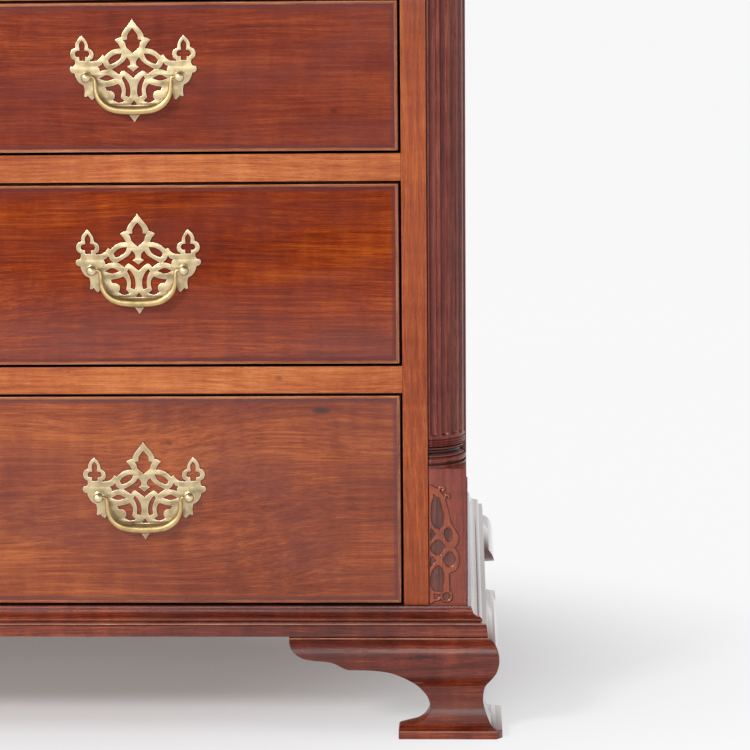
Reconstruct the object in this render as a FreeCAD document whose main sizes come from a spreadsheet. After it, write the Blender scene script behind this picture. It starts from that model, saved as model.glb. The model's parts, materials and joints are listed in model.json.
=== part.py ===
import FreeCAD, Part
import math
import os
import re
import Sketcher

# A straight-front chest of four graduated long drawers in the Chippendale
# manner, on ogee bracket feet, with fluted quarter columns let into the front
# corners, cock-beaded drawers and pierced brasses with swinging bails.
#
# Frame: X runs across the front (right positive), Y runs from the front to
# the back, Z is up.  The origin is on the floor under the middle of the box
# that holds the chest.  Sketches and boards are laid out from the front plane
# of the case, at Y = 0, and every piece is then moved back by FRONT_PLANE.

# Driving sizes in millimetres and degrees.
SIZES = {
    # carcase
    "case_width": 1024,
    "case_depth": 486,
    "side_thick": 19,
    "back_thick": 12,
    "back_lap": 9,
    "corner_square": 36.6,
    "stile_width": 25,
    "frame_depth": 58,
    "blade_thick": 26.5,
    "rail_height": 19.5,
    "opening_1": 124,
    "opening_2": 146.5,
    "opening_3": 179.5,
    "opening_4": 212.5,
    "runner_thick": 18,
    "runner_reach": 20,
    "guide_height": 25,
    "guide_play": 0.4,
    # top
    "top_thick": 20,
    "top_overhang": 24,
    "top_round": 10,
    "cove_height": 16,
    "cove_reach": 13,
    "cove_fillet": 2.5,
    # base moulding
    "base_height": 26,
    "base_reach": 20.9,
    "fascia_height": 13,
    "fascia_batter": 1.4,
    "bead_high": 4,
    "bead_reach": 15,
    "bead_return": 11.1,
    "bead_set": 14.2,
    "cove_top_reach": 4.4,
    "cove_top_lip": 2.4,
    "cove_middle_reach": 6.8,
    "cove_middle_high": 5.7,
    # ogee bracket feet
    "foot_height": 100,
    "foot_back": 6,
    "foot_belly_reach": 31.6,
    "foot_belly_height": 78,
    "foot_turn_reach": 21,
    "foot_turn_height": 52.6,
    "foot_hollow_reach": 15.9,
    "foot_hollow_height": 34,
    "foot_flare_reach": 24.5,
    "foot_round": 13,
    "foot_shoulder": 3,
    "pad_height": 8,
    "pad_reach": 34.6,
    "pad_bevel": 1.5,
    "pad_length": 67,
    "pad_clip": 6,
    "side_foot_cut": 18,
    "heel_run": 6,
    "heel_height": 13,
    "ankle_inset": 36,
    "ankle_height": 30,
    "ankle_round": 11,
    "arch_shoulder": 60,
    "arch_drop": 9.5,
    "arch_flat": 1.2,
    "cusp_reach": 118,
    "cusp_height": 68,
    "cusp_step": 13,
    "wing_length": 174,
    "wing_under": 78,
    "wing_nose": 15,
    "wing_round": 4,
    "rear_bracket_thick": 20,
    "rear_bracket_length": 120,
    "rear_bracket_foot": 48,
    "rear_bracket_round": 24,
    "glue_block": 28,
    "glue_strip": 18,
    "glue_strip_length": 90,
    # quarter columns and their plinths
    "plinth_height": 137.2,
    "cap_plinth_height": 32,
    "shaft_radius": 34.5,
    "torus_radius": 36.4,
    "second_radius": 35.6,
    "fillet_radius": 33.6,
    "neck_radius": 33,
    "scotia_radius": 31,
    "torus_low": 6.6,
    "torus_high": 7,
    "neck_rise": 1.6,
    "fillet_high": 2.5,
    "scotia_high": 7,
    "disc_high": 3.4,
    "flute_radius": 3.9,
    "flute_count": 5,
    "flute_end": 2.5,
    # drawers
    "face_gap": 2,
    "front_thick": 22,
    "cock_bead_face": 3,
    "cock_bead_depth": 10,
    "cock_bead_proud": 1.6,
    "drawer_side": 12,
    "drawer_back": 12,
    "drawer_bottom": 8,
    "bottom_rise": 8,
    "groove_depth": 6,
    "side_drop": 6,
    "back_drop": 4,
    "run_clearance": 0.2,
    "stop_gap": 0.3,
    # brasses
    "pull_across": 197.4,
    "pull_rise_1": -4,
    "pull_rise_2": 1,
    "pull_rise_3": 5.7,
    "pull_rise_4": 4.4,
    "pull_centres": 88.9,
    "plate_thick": 1.6,
    "shank_across": 4.4,
    "shank_clearance": 0.1,
    "post_head": 4.6,
    "post_crown": 1.9,
    "crown_slope": 45,
    "post_collar": 5.5,
    "collar_thick": 1.8,
    "pivot_stand": 8,
    "head_half": 4.4,
    "nut_across": 9,
    "nut_thick": 3,
    "pivot_hole": 1.9,
    "pin_radius": 1.5,
    "pin_inset": 2.85,
    "bail_inset": 9.85,
    "bail_turn": 7.4,
    "bail_drop": 33.6,
    "bail_grip": 3,
    "bail_squareness": 0.62,
    "bail_fullness": 0.8,
}

FRONT_PLANE = "-(case_depth - pad_reach) / 2"
BASE_TOP = "(foot_height + base_height)"
HALF = "case_width / 2"
OPENING_EDGE = "(case_width / 2 - corner_square - stile_width)"
COLUMN_EDGE = "(case_width / 2 - corner_square)"
SIDE_INNER = "(case_width / 2 - side_thick)"
BACK_INNER = "(case_depth - back_thick)"
DRAWER_COUNT = 4
DRAWERS = range(1, DRAWER_COUNT + 1)
BACK_BOARD_COUNT = 4
EDGE_FIND = 0.01
# Distance between the posts at which the pierced plate below is drawn.
PLATE_DRAWN = 88.9
POST_SIDES = 8
BAIL_SIDES = 8
BAIL_STATIONS = 8


def opening_bottom(number):
    """Height of the lower edge of a drawer opening; the drawers count from the top."""
    text = BASE_TOP
    for below in range(number + 1, DRAWER_COUNT + 1):
        text += f" + opening_{below} + blade_thick"
    return f"({text})"


CASE_TOP = f"({opening_bottom(1)} + opening_1 + rail_height)"

doc = FreeCAD.newDocument("chest_of_drawers")
sheet = doc.addObject("Spreadsheet::Sheet", "Sizes")
for row, (alias, number) in enumerate(SIZES.items(), start=1):
    sheet.set(f"A{row}", alias)
    sheet.set(f"B{row}", str(number))
    sheet.setAlias(f"B{row}", alias)
doc.recompute()

WORD = re.compile(r"[a-z][a-z0-9_]*")


def bound(text):
    """Turn size names in an expression into references to the sheet."""
    return WORD.sub(lambda word: "Sizes." + word.group() if word.group() in SIZES else word.group(), text)


def value(text):
    """Work out an expression of size names."""
    return float(sheet.evalExpression(bound(text)))


def place(piece, at):
    """Bind a piece's place, given from the front plane of the case."""
    across, back, up = at
    for axis, text in zip("xyz", (across, f"{back} + {FRONT_PLANE}", up)):
        piece.setExpression(f"Placement.Base.{axis}", bound(text))


def board(label, at, size):
    """A squared board: its low corner, and its extent along X, Y and Z."""
    box = doc.addObject("Part::Box", label)
    for side, text in zip(("Length", "Width", "Height"), size):
        box.setExpression(side, bound(text))
    place(box, at)
    return box


def new_body(label):
    body = doc.addObject("PartDesign::Body", label)
    place(body, ("0", "0", "0"))
    return body


def origin_feature(body, role):
    return next(feature for feature in body.Origin.OriginFeatures if feature.Role == role)


def bind_point(sketch, geometry, end, place_text):
    """Tie one point of a sketch to a pair of size expressions."""
    for kind, text in zip(("DistanceX", "DistanceY"), place_text):
        index = sketch.addConstraint(Sketcher.Constraint(kind, geometry, end, value(text)))
        sketch.setExpression(f"Constraints[{index}]", bound(text))


def draw_circle(sketch, loop):
    centre, radius = loop[1:]
    middle = FreeCAD.Vector(value(centre[0]), value(centre[1]), 0)
    ring = sketch.addGeometry(Part.Circle(middle, FreeCAD.Vector(0, 0, 1), value(radius)), False)
    bind_point(sketch, ring, 3, centre)
    index = sketch.addConstraint(Sketcher.Constraint("Radius", ring, value(radius)))
    sketch.setExpression(f"Constraints[{index}]", bound(radius))


def draw_outline(sketch, steps):
    """Draw a closed outline.

    A step (x, y) is a straight line to that point from the step before, and
    a step (x, y, via_x, via_y) is an arc through the second point to the first.
    """
    corners = [FreeCAD.Vector(value(step[0]), value(step[1]), 0) for step in steps]
    spans = []
    for number, step in enumerate(steps):
        start, end = corners[number - 1], corners[number]
        if len(step) == 2:
            span = sketch.addGeometry(Part.LineSegment(start, end), False)
            first, last = 1, 2
        else:
            via = FreeCAD.Vector(value(step[2]), value(step[3]), 0)
            turns_left = (via - start).cross(end - via).z > 0
            span = sketch.addGeometry(Part.Arc(start, via, end), False)
            first, last = (1, 2) if turns_left else (2, 1)
            guide = sketch.addGeometry(Part.Point(via), True)
            bind_point(sketch, guide, 1, step[2:])
            sketch.addConstraint(Sketcher.Constraint("PointOnObject", guide, 1, span))
        bind_point(sketch, span, last, step[:2])
        spans.append((span, first, last))
    for number, (span, first, _) in enumerate(spans):
        before, _, before_last = spans[number - 1]
        sketch.addConstraint(Sketcher.Constraint("Coincident", before, before_last, span, first))


def draw(body, role, loops, lift="0"):
    """A sketch on one of the body's own planes, moved along its normal by lift."""
    sketch = body.newObject("Sketcher::SketchObject", f"{body.Name}_outline")
    sketch.AttachmentSupport = [(origin_feature(body, role), "")]
    sketch.MapMode = "FlatFace"
    sketch.setExpression("AttachmentOffset.Base.z", bound(lift))
    for loop in loops:
        if loop[0] == "circle":
            draw_circle(sketch, loop)
        else:
            draw_outline(sketch, loop)
    return sketch


def add_pad(body, role, loops, lift, length):
    pad = body.newObject("PartDesign::Pad", f"{body.Name}_pad")
    pad.Profile = draw(body, role, loops, lift)
    pad.setExpression("Length", bound(length))
    return pad


def add_pocket(body, role, loops, lift, length):
    """Cut away what lies over a sketch, on the side that its normal points to."""
    pocket = body.newObject("PartDesign::Pocket", f"{body.Name}_pocket")
    pocket.Profile = draw(body, role, loops, lift)
    pocket.setExpression("Length", bound(length))
    pocket.Reversed = True
    return pocket


def padded(label, role, loops, lift, length):
    body = new_body(label)
    add_pad(body, role, loops, lift, length)
    return body


def mirrored(label, source):
    """The left-hand twin of a right-hand piece."""
    twin = doc.addObject("Part::Mirroring", label)
    twin.Source = source
    twin.Normal = FreeCAD.Vector(1, 0, 0)
    return twin


def group(label, pieces):
    """Several separate solids that share one node."""
    compound = doc.addObject("Part::Compound", label)
    compound.Links = pieces
    return compound


def pair(label, right):
    return group(label, [right, mirrored(f"{label}_other", right)])


def copied(label, master, at):
    """A copy of a master piece, moved to its place."""
    copy = doc.addObject("Part::Compound", label)
    copy.Links = [master]
    for axis, text in zip("xyz", at):
        copy.setExpression(f"Placement.Base.{axis}", bound(text))
    return copy


def rectangle(left, right, low, high):
    return [(left, low), (right, low), (right, high), (left, high)]


# ---------------------------------------------------------------- carcase

def build_sides():
    """Solid side boards, rabbeted at the back for the back boards."""
    lap = f"{SIDE_INNER} + back_lap"
    plan = [
        (SIDE_INNER, "corner_square"),
        (HALF, "corner_square"),
        (HALF, "case_depth"),
        (lap, "case_depth"),
        (lap, BACK_INNER),
        (SIDE_INNER, BACK_INNER),
    ]
    right = padded("right_side", "XY_Plane", [plan], "foot_height", f"{CASE_TOP} - foot_height")
    return [right, mirrored("left_side", right)]


def build_stiles():
    """L-section posts: the stile shows in front, the wing closes behind the column."""
    plan = [
        (OPENING_EDGE, "0"),
        (COLUMN_EDGE, "0"),
        (COLUMN_EDGE, "corner_square"),
        (SIDE_INNER, "corner_square"),
        (SIDE_INNER, "frame_depth"),
        (OPENING_EDGE, "frame_depth"),
    ]
    right = padded("right_stile", "XY_Plane", [plan], BASE_TOP, f"{CASE_TOP} - {BASE_TOP}")
    return [right, mirrored("left_stile", right)]


def build_bottom():
    """Bottom board, notched at the front for the plinths under the columns."""
    plan = [
        (f"-{COLUMN_EDGE}", "0"),
        (COLUMN_EDGE, "0"),
        (COLUMN_EDGE, "corner_square"),
        (SIDE_INNER, "corner_square"),
        (SIDE_INNER, BACK_INNER),
        (f"-{SIDE_INNER}", BACK_INNER),
        (f"-{SIDE_INNER}", "corner_square"),
        (f"-{COLUMN_EDGE}", "corner_square"),
    ]
    return padded("bottom_board", "XY_Plane", [plan], "foot_height", "base_height")


def build_top():
    """Top board with its upper edge rounded along the front and the ends."""
    half = f"({HALF} + top_overhang)"
    body = new_body("top_board")
    plan = rectangle(f"-{half}", half, "-top_overhang", "case_depth")
    slab = add_pad(body, "XY_Plane", [plan], CASE_TOP, "top_thick")
    doc.recompute()
    reach = value(half)
    front = value("-top_overhang")
    upper = value(f"{CASE_TOP} + top_thick")

    names = []
    for number, edge in enumerate(slab.Shape.Edges, start=1):
        middle = edge.valueAt((edge.FirstParameter + edge.LastParameter) / 2)
        moulded = abs(middle.y - front) < EDGE_FIND or abs(abs(middle.x) - reach) < EDGE_FIND
        if moulded and abs(middle.z - upper) < EDGE_FIND:
            names.append(f"Edge{number}")
    rounding = body.newObject("PartDesign::Fillet", "top_board_round")
    rounding.Base = (slab, names)
    rounding.setExpression("Radius", bound("top_round"))
    return body


def build_back_boards():
    """Level boards across the back, let into the rabbets of the sides."""
    boards = []
    height = f"(({CASE_TOP} - foot_height) / {BACK_BOARD_COUNT})"
    reach = f"({SIDE_INNER} + back_lap)"
    for number in range(BACK_BOARD_COUNT):
        at = (f"-{reach}", BACK_INNER, f"foot_height + {number} * {height}")
        boards.append(board(f"back_board_{number + 1}", at, (f"2 * {reach}", "back_thick", height)))
    return group("back_boards", boards)


def build_frame():
    """Top rail, blades between the openings, and the runners and guides behind."""
    width = f"2 * {OPENING_EDGE}"
    rail_at = (f"-{OPENING_EDGE}", "0", f"{CASE_TOP} - rail_height")
    rail = board("top_rail", rail_at, (width, "frame_depth", "rail_height"))
    blades = []
    runners = []
    guides = []
    run = f"{BACK_INNER} - frame_depth"
    for number in DRAWERS:
        level = opening_bottom(number)
        guide_face = f"({OPENING_EDGE} - face_gap + guide_play)"
        guide_at = (guide_face, "frame_depth", level)
        guide_size = (f"{SIDE_INNER} - {guide_face}", run, "guide_height")
        guide = board(f"guide_{number}", guide_at, guide_size)
        guides += [guide, mirrored(f"guide_{number}_left", guide)]
        if number == DRAWER_COUNT:
            continue
        blade_at = (f"-{OPENING_EDGE}", "0", f"{level} - blade_thick")
        blades.append(board(f"blade_{number}", blade_at, (width, "frame_depth", "blade_thick")))
        runner_at = (f"{OPENING_EDGE} - runner_reach", "frame_depth", f"{level} - runner_thick")
        runner_size = (f"{SIDE_INNER} - {OPENING_EDGE} + runner_reach", run, "runner_thick")
        runner = board(f"runner_{number}", runner_at, runner_size)
        runners += [runner, mirrored(f"runner_{number}_left", runner)]
    return [
        rail,
        group("drawer_blades", blades),
        group("drawer_runners", runners),
        group("drawer_guides", guides),
    ]


# ---------------------------------------------------------------- mouldings and feet

def outward(profile, start):
    """Lay a profile of (outward, up) pairs out from a starting face."""
    section = []
    for step in profile:
        laid = list(step)
        laid[::2] = [f"{start} ({reach})" for reach in step[::2]]
        section.append(tuple(laid))
    return section


def front_run(label, profile, low, high, inner, reach):
    """A run of moulding along the front, from X = low to X = high.

    The profile gives (outward, up) pairs.  An end that lies past the case is
    mitred: outside the case's corner the run stops at 45 degrees.
    """
    section = outward(profile, "-")
    body = padded(label, "YZ_Plane", [section], low, f"({high}) - ({low})")
    right = [
        (f"{HALF} - {inner}", inner),
        (f"{HALF} + {reach}", inner),
        (f"{HALF} + {reach}", f"-{reach}"),
    ]
    triangles = [right]
    if value(low) < 0:
        triangles.append([(f"-({across})", back) for across, back in right])
    add_pocket(body, "XY_Plane", triangles, "0", CASE_TOP)
    return body


def side_run(label, profile, front, back, inner, reach, mitre=True):
    """A run of moulding along the right side, from Y = front to Y = back."""
    section = outward(profile, f"{HALF} +")
    body = padded(label, "XZ_Plane", [section], f"-({back})", f"({back}) - ({front})")
    if mitre:
        corner = [
            (f"{HALF} - {inner}", inner),
            (f"{HALF} + {reach}", f"-{reach}"),
            (f"{HALF} - {inner}", f"-{reach}"),
        ]
        add_pocket(body, "XY_Plane", [corner], "0", CASE_TOP)
    return body


def base_profile():
    """Cove, bead and fascia, as (outward, up) pairs from the case."""
    fascia = "(foot_height + fascia_height)"
    bead = f"({fascia} + bead_high)"
    return [
        ("0", "foot_height"),
        ("base_reach", "foot_height"),
        ("base_reach - fascia_batter", fascia),
        ("bead_set", fascia),
        ("bead_return", bead, "bead_reach", f"{fascia} + bead_high / 2"),
        ("cove_top_reach", f"{BASE_TOP} - cove_top_lip", "cove_middle_reach", f"{fascia} + cove_middle_high"),
        ("cove_top_reach", BASE_TOP),
        ("0", BASE_TOP),
    ]


def build_base_moulding():
    profile = base_profile()
    end = f"({HALF} + base_reach)"
    front = front_run("base_moulding_front", profile, f"-{end}", end, "0", "base_reach")
    side = side_run("base_side_right", profile, "-base_reach", "case_depth", "0", "base_reach")
    return [front, pair("base_moulding_sides", side)]


def build_top_moulding():
    """Small cove under the overhang of the top."""
    low = f"({CASE_TOP} - cove_height)"
    profile = [
        ("0", low),
        ("cove_fillet", low),
        ("cove_reach", f"{CASE_TOP} - cove_fillet", "cove_reach * 0.42", f"{low} + cove_height * 0.5"),
        ("cove_reach", CASE_TOP),
        ("0", CASE_TOP),
    ]
    end = f"({HALF} + cove_reach)"
    front = front_run("top_cove_front", profile, f"-{end}", end, "0", "cove_reach")
    side = side_run("top_cove_side", profile, "-cove_reach", "case_depth", "0", "cove_reach")
    return group("top_moulding", [front, side, mirrored("top_cove_side_left", side)])


def foot_profile():
    """Ogee of a foot facing: belly above, hollow below, standing on its pad."""
    return [
        ("-foot_back", "0"),
        ("pad_reach", "0"),
        ("pad_reach", "pad_height - pad_bevel"),
        ("pad_reach - pad_bevel", "pad_height"),
        ("foot_flare_reach", "pad_height + pad_bevel"),
        ("foot_turn_reach", "foot_turn_height", "foot_hollow_reach", "foot_hollow_height"),
        ("foot_belly_reach", "foot_belly_height", "foot_turn_reach + 8", "foot_turn_height + foot_round"),
        ("base_reach", "foot_height", "foot_belly_reach - foot_shoulder", "foot_belly_height + foot_round"),
        ("-foot_back", "foot_height"),
    ]


def bracket_cut(corner, direction, shortened="0"):
    """What is sawn away under the wing of a foot, as (along, up) pairs.

    Places along the foot are measured from corner towards the wing, and the
    whole bracket is that much shorter.
    """

    def along(text):
        return f"{corner} {direction} ({text} - {shortened})"

    ankle_low = (along("ankle_inset + heel_run"), "ankle_height - ankle_round")
    ankle_up = (along("ankle_inset + heel_run"), "ankle_height + ankle_round")
    arch_mid = (along("(arch_shoulder + cusp_reach) / 2"), "cusp_height + arch_flat")
    nose_mid = (along("wing_length - wing_round"), "foot_height - 3 * wing_round")
    return [
        (along("pad_length"), "0"),
        (along("pad_length"), "pad_height"),
        (along("pad_length - heel_run"), "heel_height"),
        (along("ankle_inset"), "ankle_height") + ankle_low,
        (along("arch_shoulder"), "cusp_height - arch_drop") + ankle_up,
        (along("cusp_reach"), "cusp_height") + arch_mid,
        (along("cusp_reach + cusp_step"), "wing_under"),
        (along("wing_length - wing_nose"), "wing_under"),
        (along("wing_length"), "foot_height") + nose_mid,
        (along("wing_length + wing_nose"), "foot_height"),
        (along("wing_length + wing_nose"), "0"),
    ]


def clip_pad(facing):
    """Take the sharp front corner off the pad that the foot stands on."""
    corner = [
        (f"{HALF} + pad_reach - pad_clip", "-pad_reach"),
        (f"{HALF} + pad_reach", "-pad_reach"),
        (f"{HALF} + pad_reach", "pad_clip - pad_reach"),
    ]
    add_pocket(facing, "XY_Plane", [corner], "0", "pad_height + pad_bevel")


def build_front_foot():
    """Two ogee facings mitred at the corner."""
    profile = foot_profile()
    depth = "foot_back + pad_reach"
    front = front_run(
        "front_foot_facing", profile, f"{HALF} - wing_length", f"{HALF} + pad_reach", "foot_back", "pad_reach"
    )
    add_pocket(front, "XZ_Plane", [bracket_cut(HALF, "-")], "-foot_back", depth)
    wing_end = "wing_length - side_foot_cut"
    side = side_run("side_foot_facing", profile, "-pad_reach", wing_end, "foot_back", "pad_reach")
    cut = bracket_cut("0", "+", "side_foot_cut")
    add_pocket(side, "YZ_Plane", [cut], f"{HALF} - foot_back", depth)
    clip_pad(front)
    clip_pad(side)
    return group("front_right_foot", [front, side])


def build_rear_foot():
    """An ogee facing on the side and a plain bracket across the back."""
    start = "case_depth - wing_length + side_foot_cut"
    side = side_run(
        "rear_foot_facing", foot_profile(), start, "case_depth", "foot_back", "pad_reach", mitre=False
    )
    cut = bracket_cut("case_depth", "-", "side_foot_cut")
    add_pocket(side, "YZ_Plane", [cut], f"{HALF} - foot_back", "foot_back + pad_reach")
    inner = f"({HALF} - foot_back)"
    tip = f"{inner} - rear_bracket_length"
    toe = f"{inner} - rear_bracket_foot"
    outline = [
        (inner, "0"),
        (inner, "foot_height"),
        (tip, "foot_height"),
        (tip, "wing_under"),
        (f"{tip} + rear_bracket_round", "wing_under"),
        (toe, "wing_under - rear_bracket_round"),
        (toe, "0"),
    ]
    bracket = padded("rear_foot_bracket", "XZ_Plane", [outline], "-case_depth", "rear_bracket_thick")
    return group("rear_right_foot", [side, bracket])


def build_glue_blocks():
    """Upright blocks in the corners of the feet and level blocks behind the wings."""
    inner = f"({HALF} - foot_back)"
    rear = "(case_depth - rear_bracket_thick)"
    blocks = []
    edge = f"{inner} - glue_block"
    upright = ("glue_block", "glue_block", "foot_height - pad_height")
    blocks.append(board("glue_block_front", (edge, "foot_back", "pad_height"), upright))
    blocks.append(board("glue_block_rear", (edge, f"{rear} - glue_block", "pad_height"), upright))
    strip_up = "foot_height - glue_strip"
    front_at = (f"{inner} - glue_block - glue_strip_length", "foot_back", strip_up)
    blocks.append(board("glue_strip_front", front_at, ("glue_strip_length", "glue_strip", "glue_strip")))
    side_size = ("glue_strip", "glue_strip_length", "glue_strip")
    side_at = (f"{inner} - glue_strip", "foot_back + glue_block", strip_up)
    blocks.append(board("glue_strip_side", side_at, side_size))
    rear_at = (f"{inner} - glue_strip", f"{rear} - glue_block - glue_strip_length", strip_up)
    blocks.append(board("glue_strip_rear", rear_at, side_size))
    return group("glue_blocks", blocks + [mirrored(f"{block.Name}_left", block) for block in blocks])


# ---------------------------------------------------------------- quarter columns

def build_plinths():
    """Square blocks under and over the columns, let into the corner."""
    square = ("corner_square", "corner_square")
    lower_at = (COLUMN_EDGE, "0", "foot_height")
    lower = board("right_lower_plinth", lower_at, square + ("base_height + plinth_height",))
    upper_at = (COLUMN_EDGE, "0", f"{CASE_TOP} - cap_plinth_height")
    upper = board("upper_plinth_right", upper_at, square + ("cap_plinth_height",))
    return [lower, mirrored("left_lower_plinth", lower), pair("upper_plinths", upper)]


def turned_end(start, way):
    """Mouldings of a column's end, as (radius, up) steps from its flat end."""

    def up(text):
        return f"{start} {way} ({text})"

    torus_top = "disc_high + torus_low"
    fillet_top = f"{torus_top} + fillet_high"
    scotia_top = f"{fillet_top} + scotia_high"
    second_top = f"{scotia_top} + torus_high"
    return [
        ("torus_radius", up("0")),
        ("torus_radius", up("disc_high")),
        ("fillet_radius", up("disc_high")),
        ("torus_radius", up("disc_high + torus_low / 3")),
        ("torus_radius", up("disc_high + torus_low * 2 / 3")),
        ("fillet_radius", up(torus_top)),
        ("fillet_radius", up(fillet_top)),
        ("scotia_radius", up(f"{fillet_top} + scotia_high / 2")),
        ("neck_radius", up(scotia_top)),
        ("second_radius", up(f"{scotia_top} + torus_high / 3")),
        ("second_radius", up(f"{scotia_top} + torus_high * 2 / 3")),
        ("neck_radius", up(second_top)),
        ("shaft_radius", up(f"{second_top} + neck_rise")),
    ]


def build_columns():
    """Quarter columns turned from one length, with stopped flutes between turned ends."""
    body = doc.addObject("PartDesign::Body", "right_column")
    foot = f"({BASE_TOP} + plinth_height)"
    head = f"({CASE_TOP} - cap_plinth_height)"
    lower = turned_end(foot, "+")
    upper = turned_end(head, "-")
    steps = [("0", foot)] + lower + upper[::-1] + [("0", head)]
    turning = body.newObject("PartDesign::Revolution", "column_turning")
    turning.Profile = draw(body, "XZ_Plane", [steps])
    turning.ReferenceAxis = (turning.Profile[0], ["V_Axis"])
    turning.Angle = 90
    turning.Reversed = True
    ends = "disc_high + torus_low + fillet_high + scotia_high + torus_high + flute_end"
    spread = "(90 / flute_count / 2)"
    centre = (f"shaft_radius * cos({spread})", f"-shaft_radius * sin({spread})")
    rounds = [("circle", centre, "flute_radius")]
    flute = add_pocket(body, "XY_Plane", rounds, f"{foot} + {ends}", f"{head} - {foot} - 2 * ({ends})")
    flute_row = body.newObject("PartDesign::PolarPattern", "column_flutes")
    flute_row.Originals = [flute]
    flute_row.Axis = (origin_feature(body, "Z_Axis"), [""])
    flute_row.Reversed = True
    flute_row.setExpression("Occurrences", bound("flute_count"))
    flute_row.setExpression("Angle", bound("90 - 90 / flute_count"))
    body.Tip = flute_row
    place(body, (COLUMN_EDGE, "corner_square", "0"))
    return [body, mirrored("left_column", body)]


# ---------------------------------------------------------------- brasses

def half_plate():
    """Right half of the pierced plate's outline, from the top tip down."""
    return [
        (8.5, 42),
        (16.5, 33),
        (10.5, 26),
        (21, 22.5),
        (31, 14),
        (42, 13.5),
        (37.5, 20),
        (42, 25),
        (48, 36.5),
        (54, 25),
        (58.5, 20),
        (54, 13.5),
        (59, 4),
        (52, -6),
        (47.5, -11),
        (48.5, -20),
        (43, -21),
        (38, -11),
        (30, -26),
        (6.5, -38),
    ]


def build_plate():
    """Pierced back plate, on the drawer's face and centred between its posts."""
    right = half_plate()
    outline = [(0, 53.5)] + right + [(0, -44)] + [(-across, up) for across, up in reversed(right)]
    openings = [
        [(0, 44), (6, 34), (4.5, 24), (0, 20.5), (-4.5, 24), (-6, 34)],
        [(0, -25), (6, -30), (-6, -30)],
        [(0, -4), (3, -10), (2.5, -19), (-2.5, -19), (-3, -10)],
    ]
    one_sided = [
        [(10.5, 20), (21, 13), (10.5, 8), (4.5, 12)],
        [(28, 12), (33.5, 8.5), (31, 3.5), (23.5, 6.5)],
        [(18, -2), (25, 1), (32, -3.5), (25, -6)],
        [(26, -10.5), (14, -7.5), (9, -14), (13, -26), (19, -23)],
        [(48, 31), (54.5, 19), (48, 12.5), (41.5, 19)],
    ]
    for hole in one_sided:
        openings += [hole, [(-across, up) for across, up in hole]]
    loops = []
    for loop in [outline] + openings:
        loops.append([tuple(f"{number} * pull_centres / {PLATE_DRAWN}" for number in step) for step in loop])
    for side in ("", "-"):
        loops.append(shank_hole(f"{side}pull_centres / 2", "0"))
    body = doc.addObject("PartDesign::Body", "plate")
    add_pad(body, "XZ_Plane", loops, "0", "plate_thick")
    return body


def shank_hole(across, up):
    """Square hole for a post's shank."""
    half = "(shank_across / 2 + shank_clearance)"
    return rectangle(f"{across} - {half}", f"{across} + {half}", f"{up} - {half}", f"{up} + {half}")


def many_sided(radius, sides, across="0", up="0"):
    """A regular outline with flats above and below."""
    corners = []
    for number in range(sides):
        angle = 360 * (number + 0.5) / sides
        corners.append((f"{across} + {radius} * cos({angle})", f"{up} + {radius} * sin({angle})"))
    return corners


def build_post():
    """Post with a square shank through plate and drawer front, and its nut behind."""
    body = doc.addObject("PartDesign::Body", "post")
    collar_front = "(plate_thick + collar_thick)"
    crown_start = "(pivot_stand + head_half - post_crown)"
    nut = many_sided("nut_across / 2 * sqrt(2)", 4)
    shank = many_sided("shank_across / 2 * sqrt(2)", 4)
    collar = many_sided("post_collar", POST_SIDES)
    head = many_sided("post_head", POST_SIDES)
    add_pad(body, "XZ_Plane", [nut], "-(front_thick + nut_thick)", "nut_thick")
    add_pad(body, "XZ_Plane", [shank], "-front_thick", "front_thick + plate_thick")
    add_pad(body, "XZ_Plane", [collar], "plate_thick", "collar_thick")
    add_pad(body, "XZ_Plane", [head], collar_front, f"{crown_start} - {collar_front}")
    crown = add_pad(body, "XZ_Plane", [head], crown_start, "post_crown")
    crown.setExpression("TaperAngle", bound("-crown_slope"))
    socket = many_sided("pivot_hole", BAIL_SIDES, "-pivot_stand")
    add_pocket(body, "YZ_Plane", [socket], "-post_head", "post_head * 2")
    return body


def bail_stations():
    """Stations (across, up, radius) down the bail from its right pin to its left one."""
    pin, grip = value("pin_radius"), value("bail_grip")
    width = value("pull_centres / 2 - bail_inset")
    spots = [(value("pull_centres / 2 - pin_inset"), 0, pin), (value("pull_centres / 2 - bail_turn"), 0, pin)]
    first = math.pi / (2 * BAIL_STATIONS)
    for number in range(BAIL_STATIONS):
        turn = first + number * (math.pi - 2 * first) / (BAIL_STATIONS - 1)
        across = math.copysign(abs(math.cos(turn)) ** value("bail_squareness"), math.cos(turn)) * width
        up = -(math.sin(turn) ** value("bail_fullness")) * value("bail_drop")
        spots.append((across, up, pin + (grip - pin) * math.sin(turn)))
    return spots + [(-across, up, radius) for across, up, radius in reversed(spots[:2])]


def bail_ring(spots, number):
    """Corners of the bail's section at one station, square to its run."""
    across, up, radius = spots[number]
    before = spots[max(number - 1, 0)]
    after = spots[min(number + 1, len(spots) - 1)]
    heading = FreeCAD.Vector(after[0] - before[0], 0, after[1] - before[1]).normalize()
    forward = FreeCAD.Vector(0, -1, 0)
    sideways = heading.cross(forward)
    corners = []
    for step in range(BAIL_SIDES):
        angle = 2 * math.pi * (step + 0.5) / BAIL_SIDES
        offset = forward * (radius * math.cos(angle)) + sideways * (radius * math.sin(angle))
        corners.append(FreeCAD.Vector(across, 0, up) + offset)
    return corners


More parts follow.
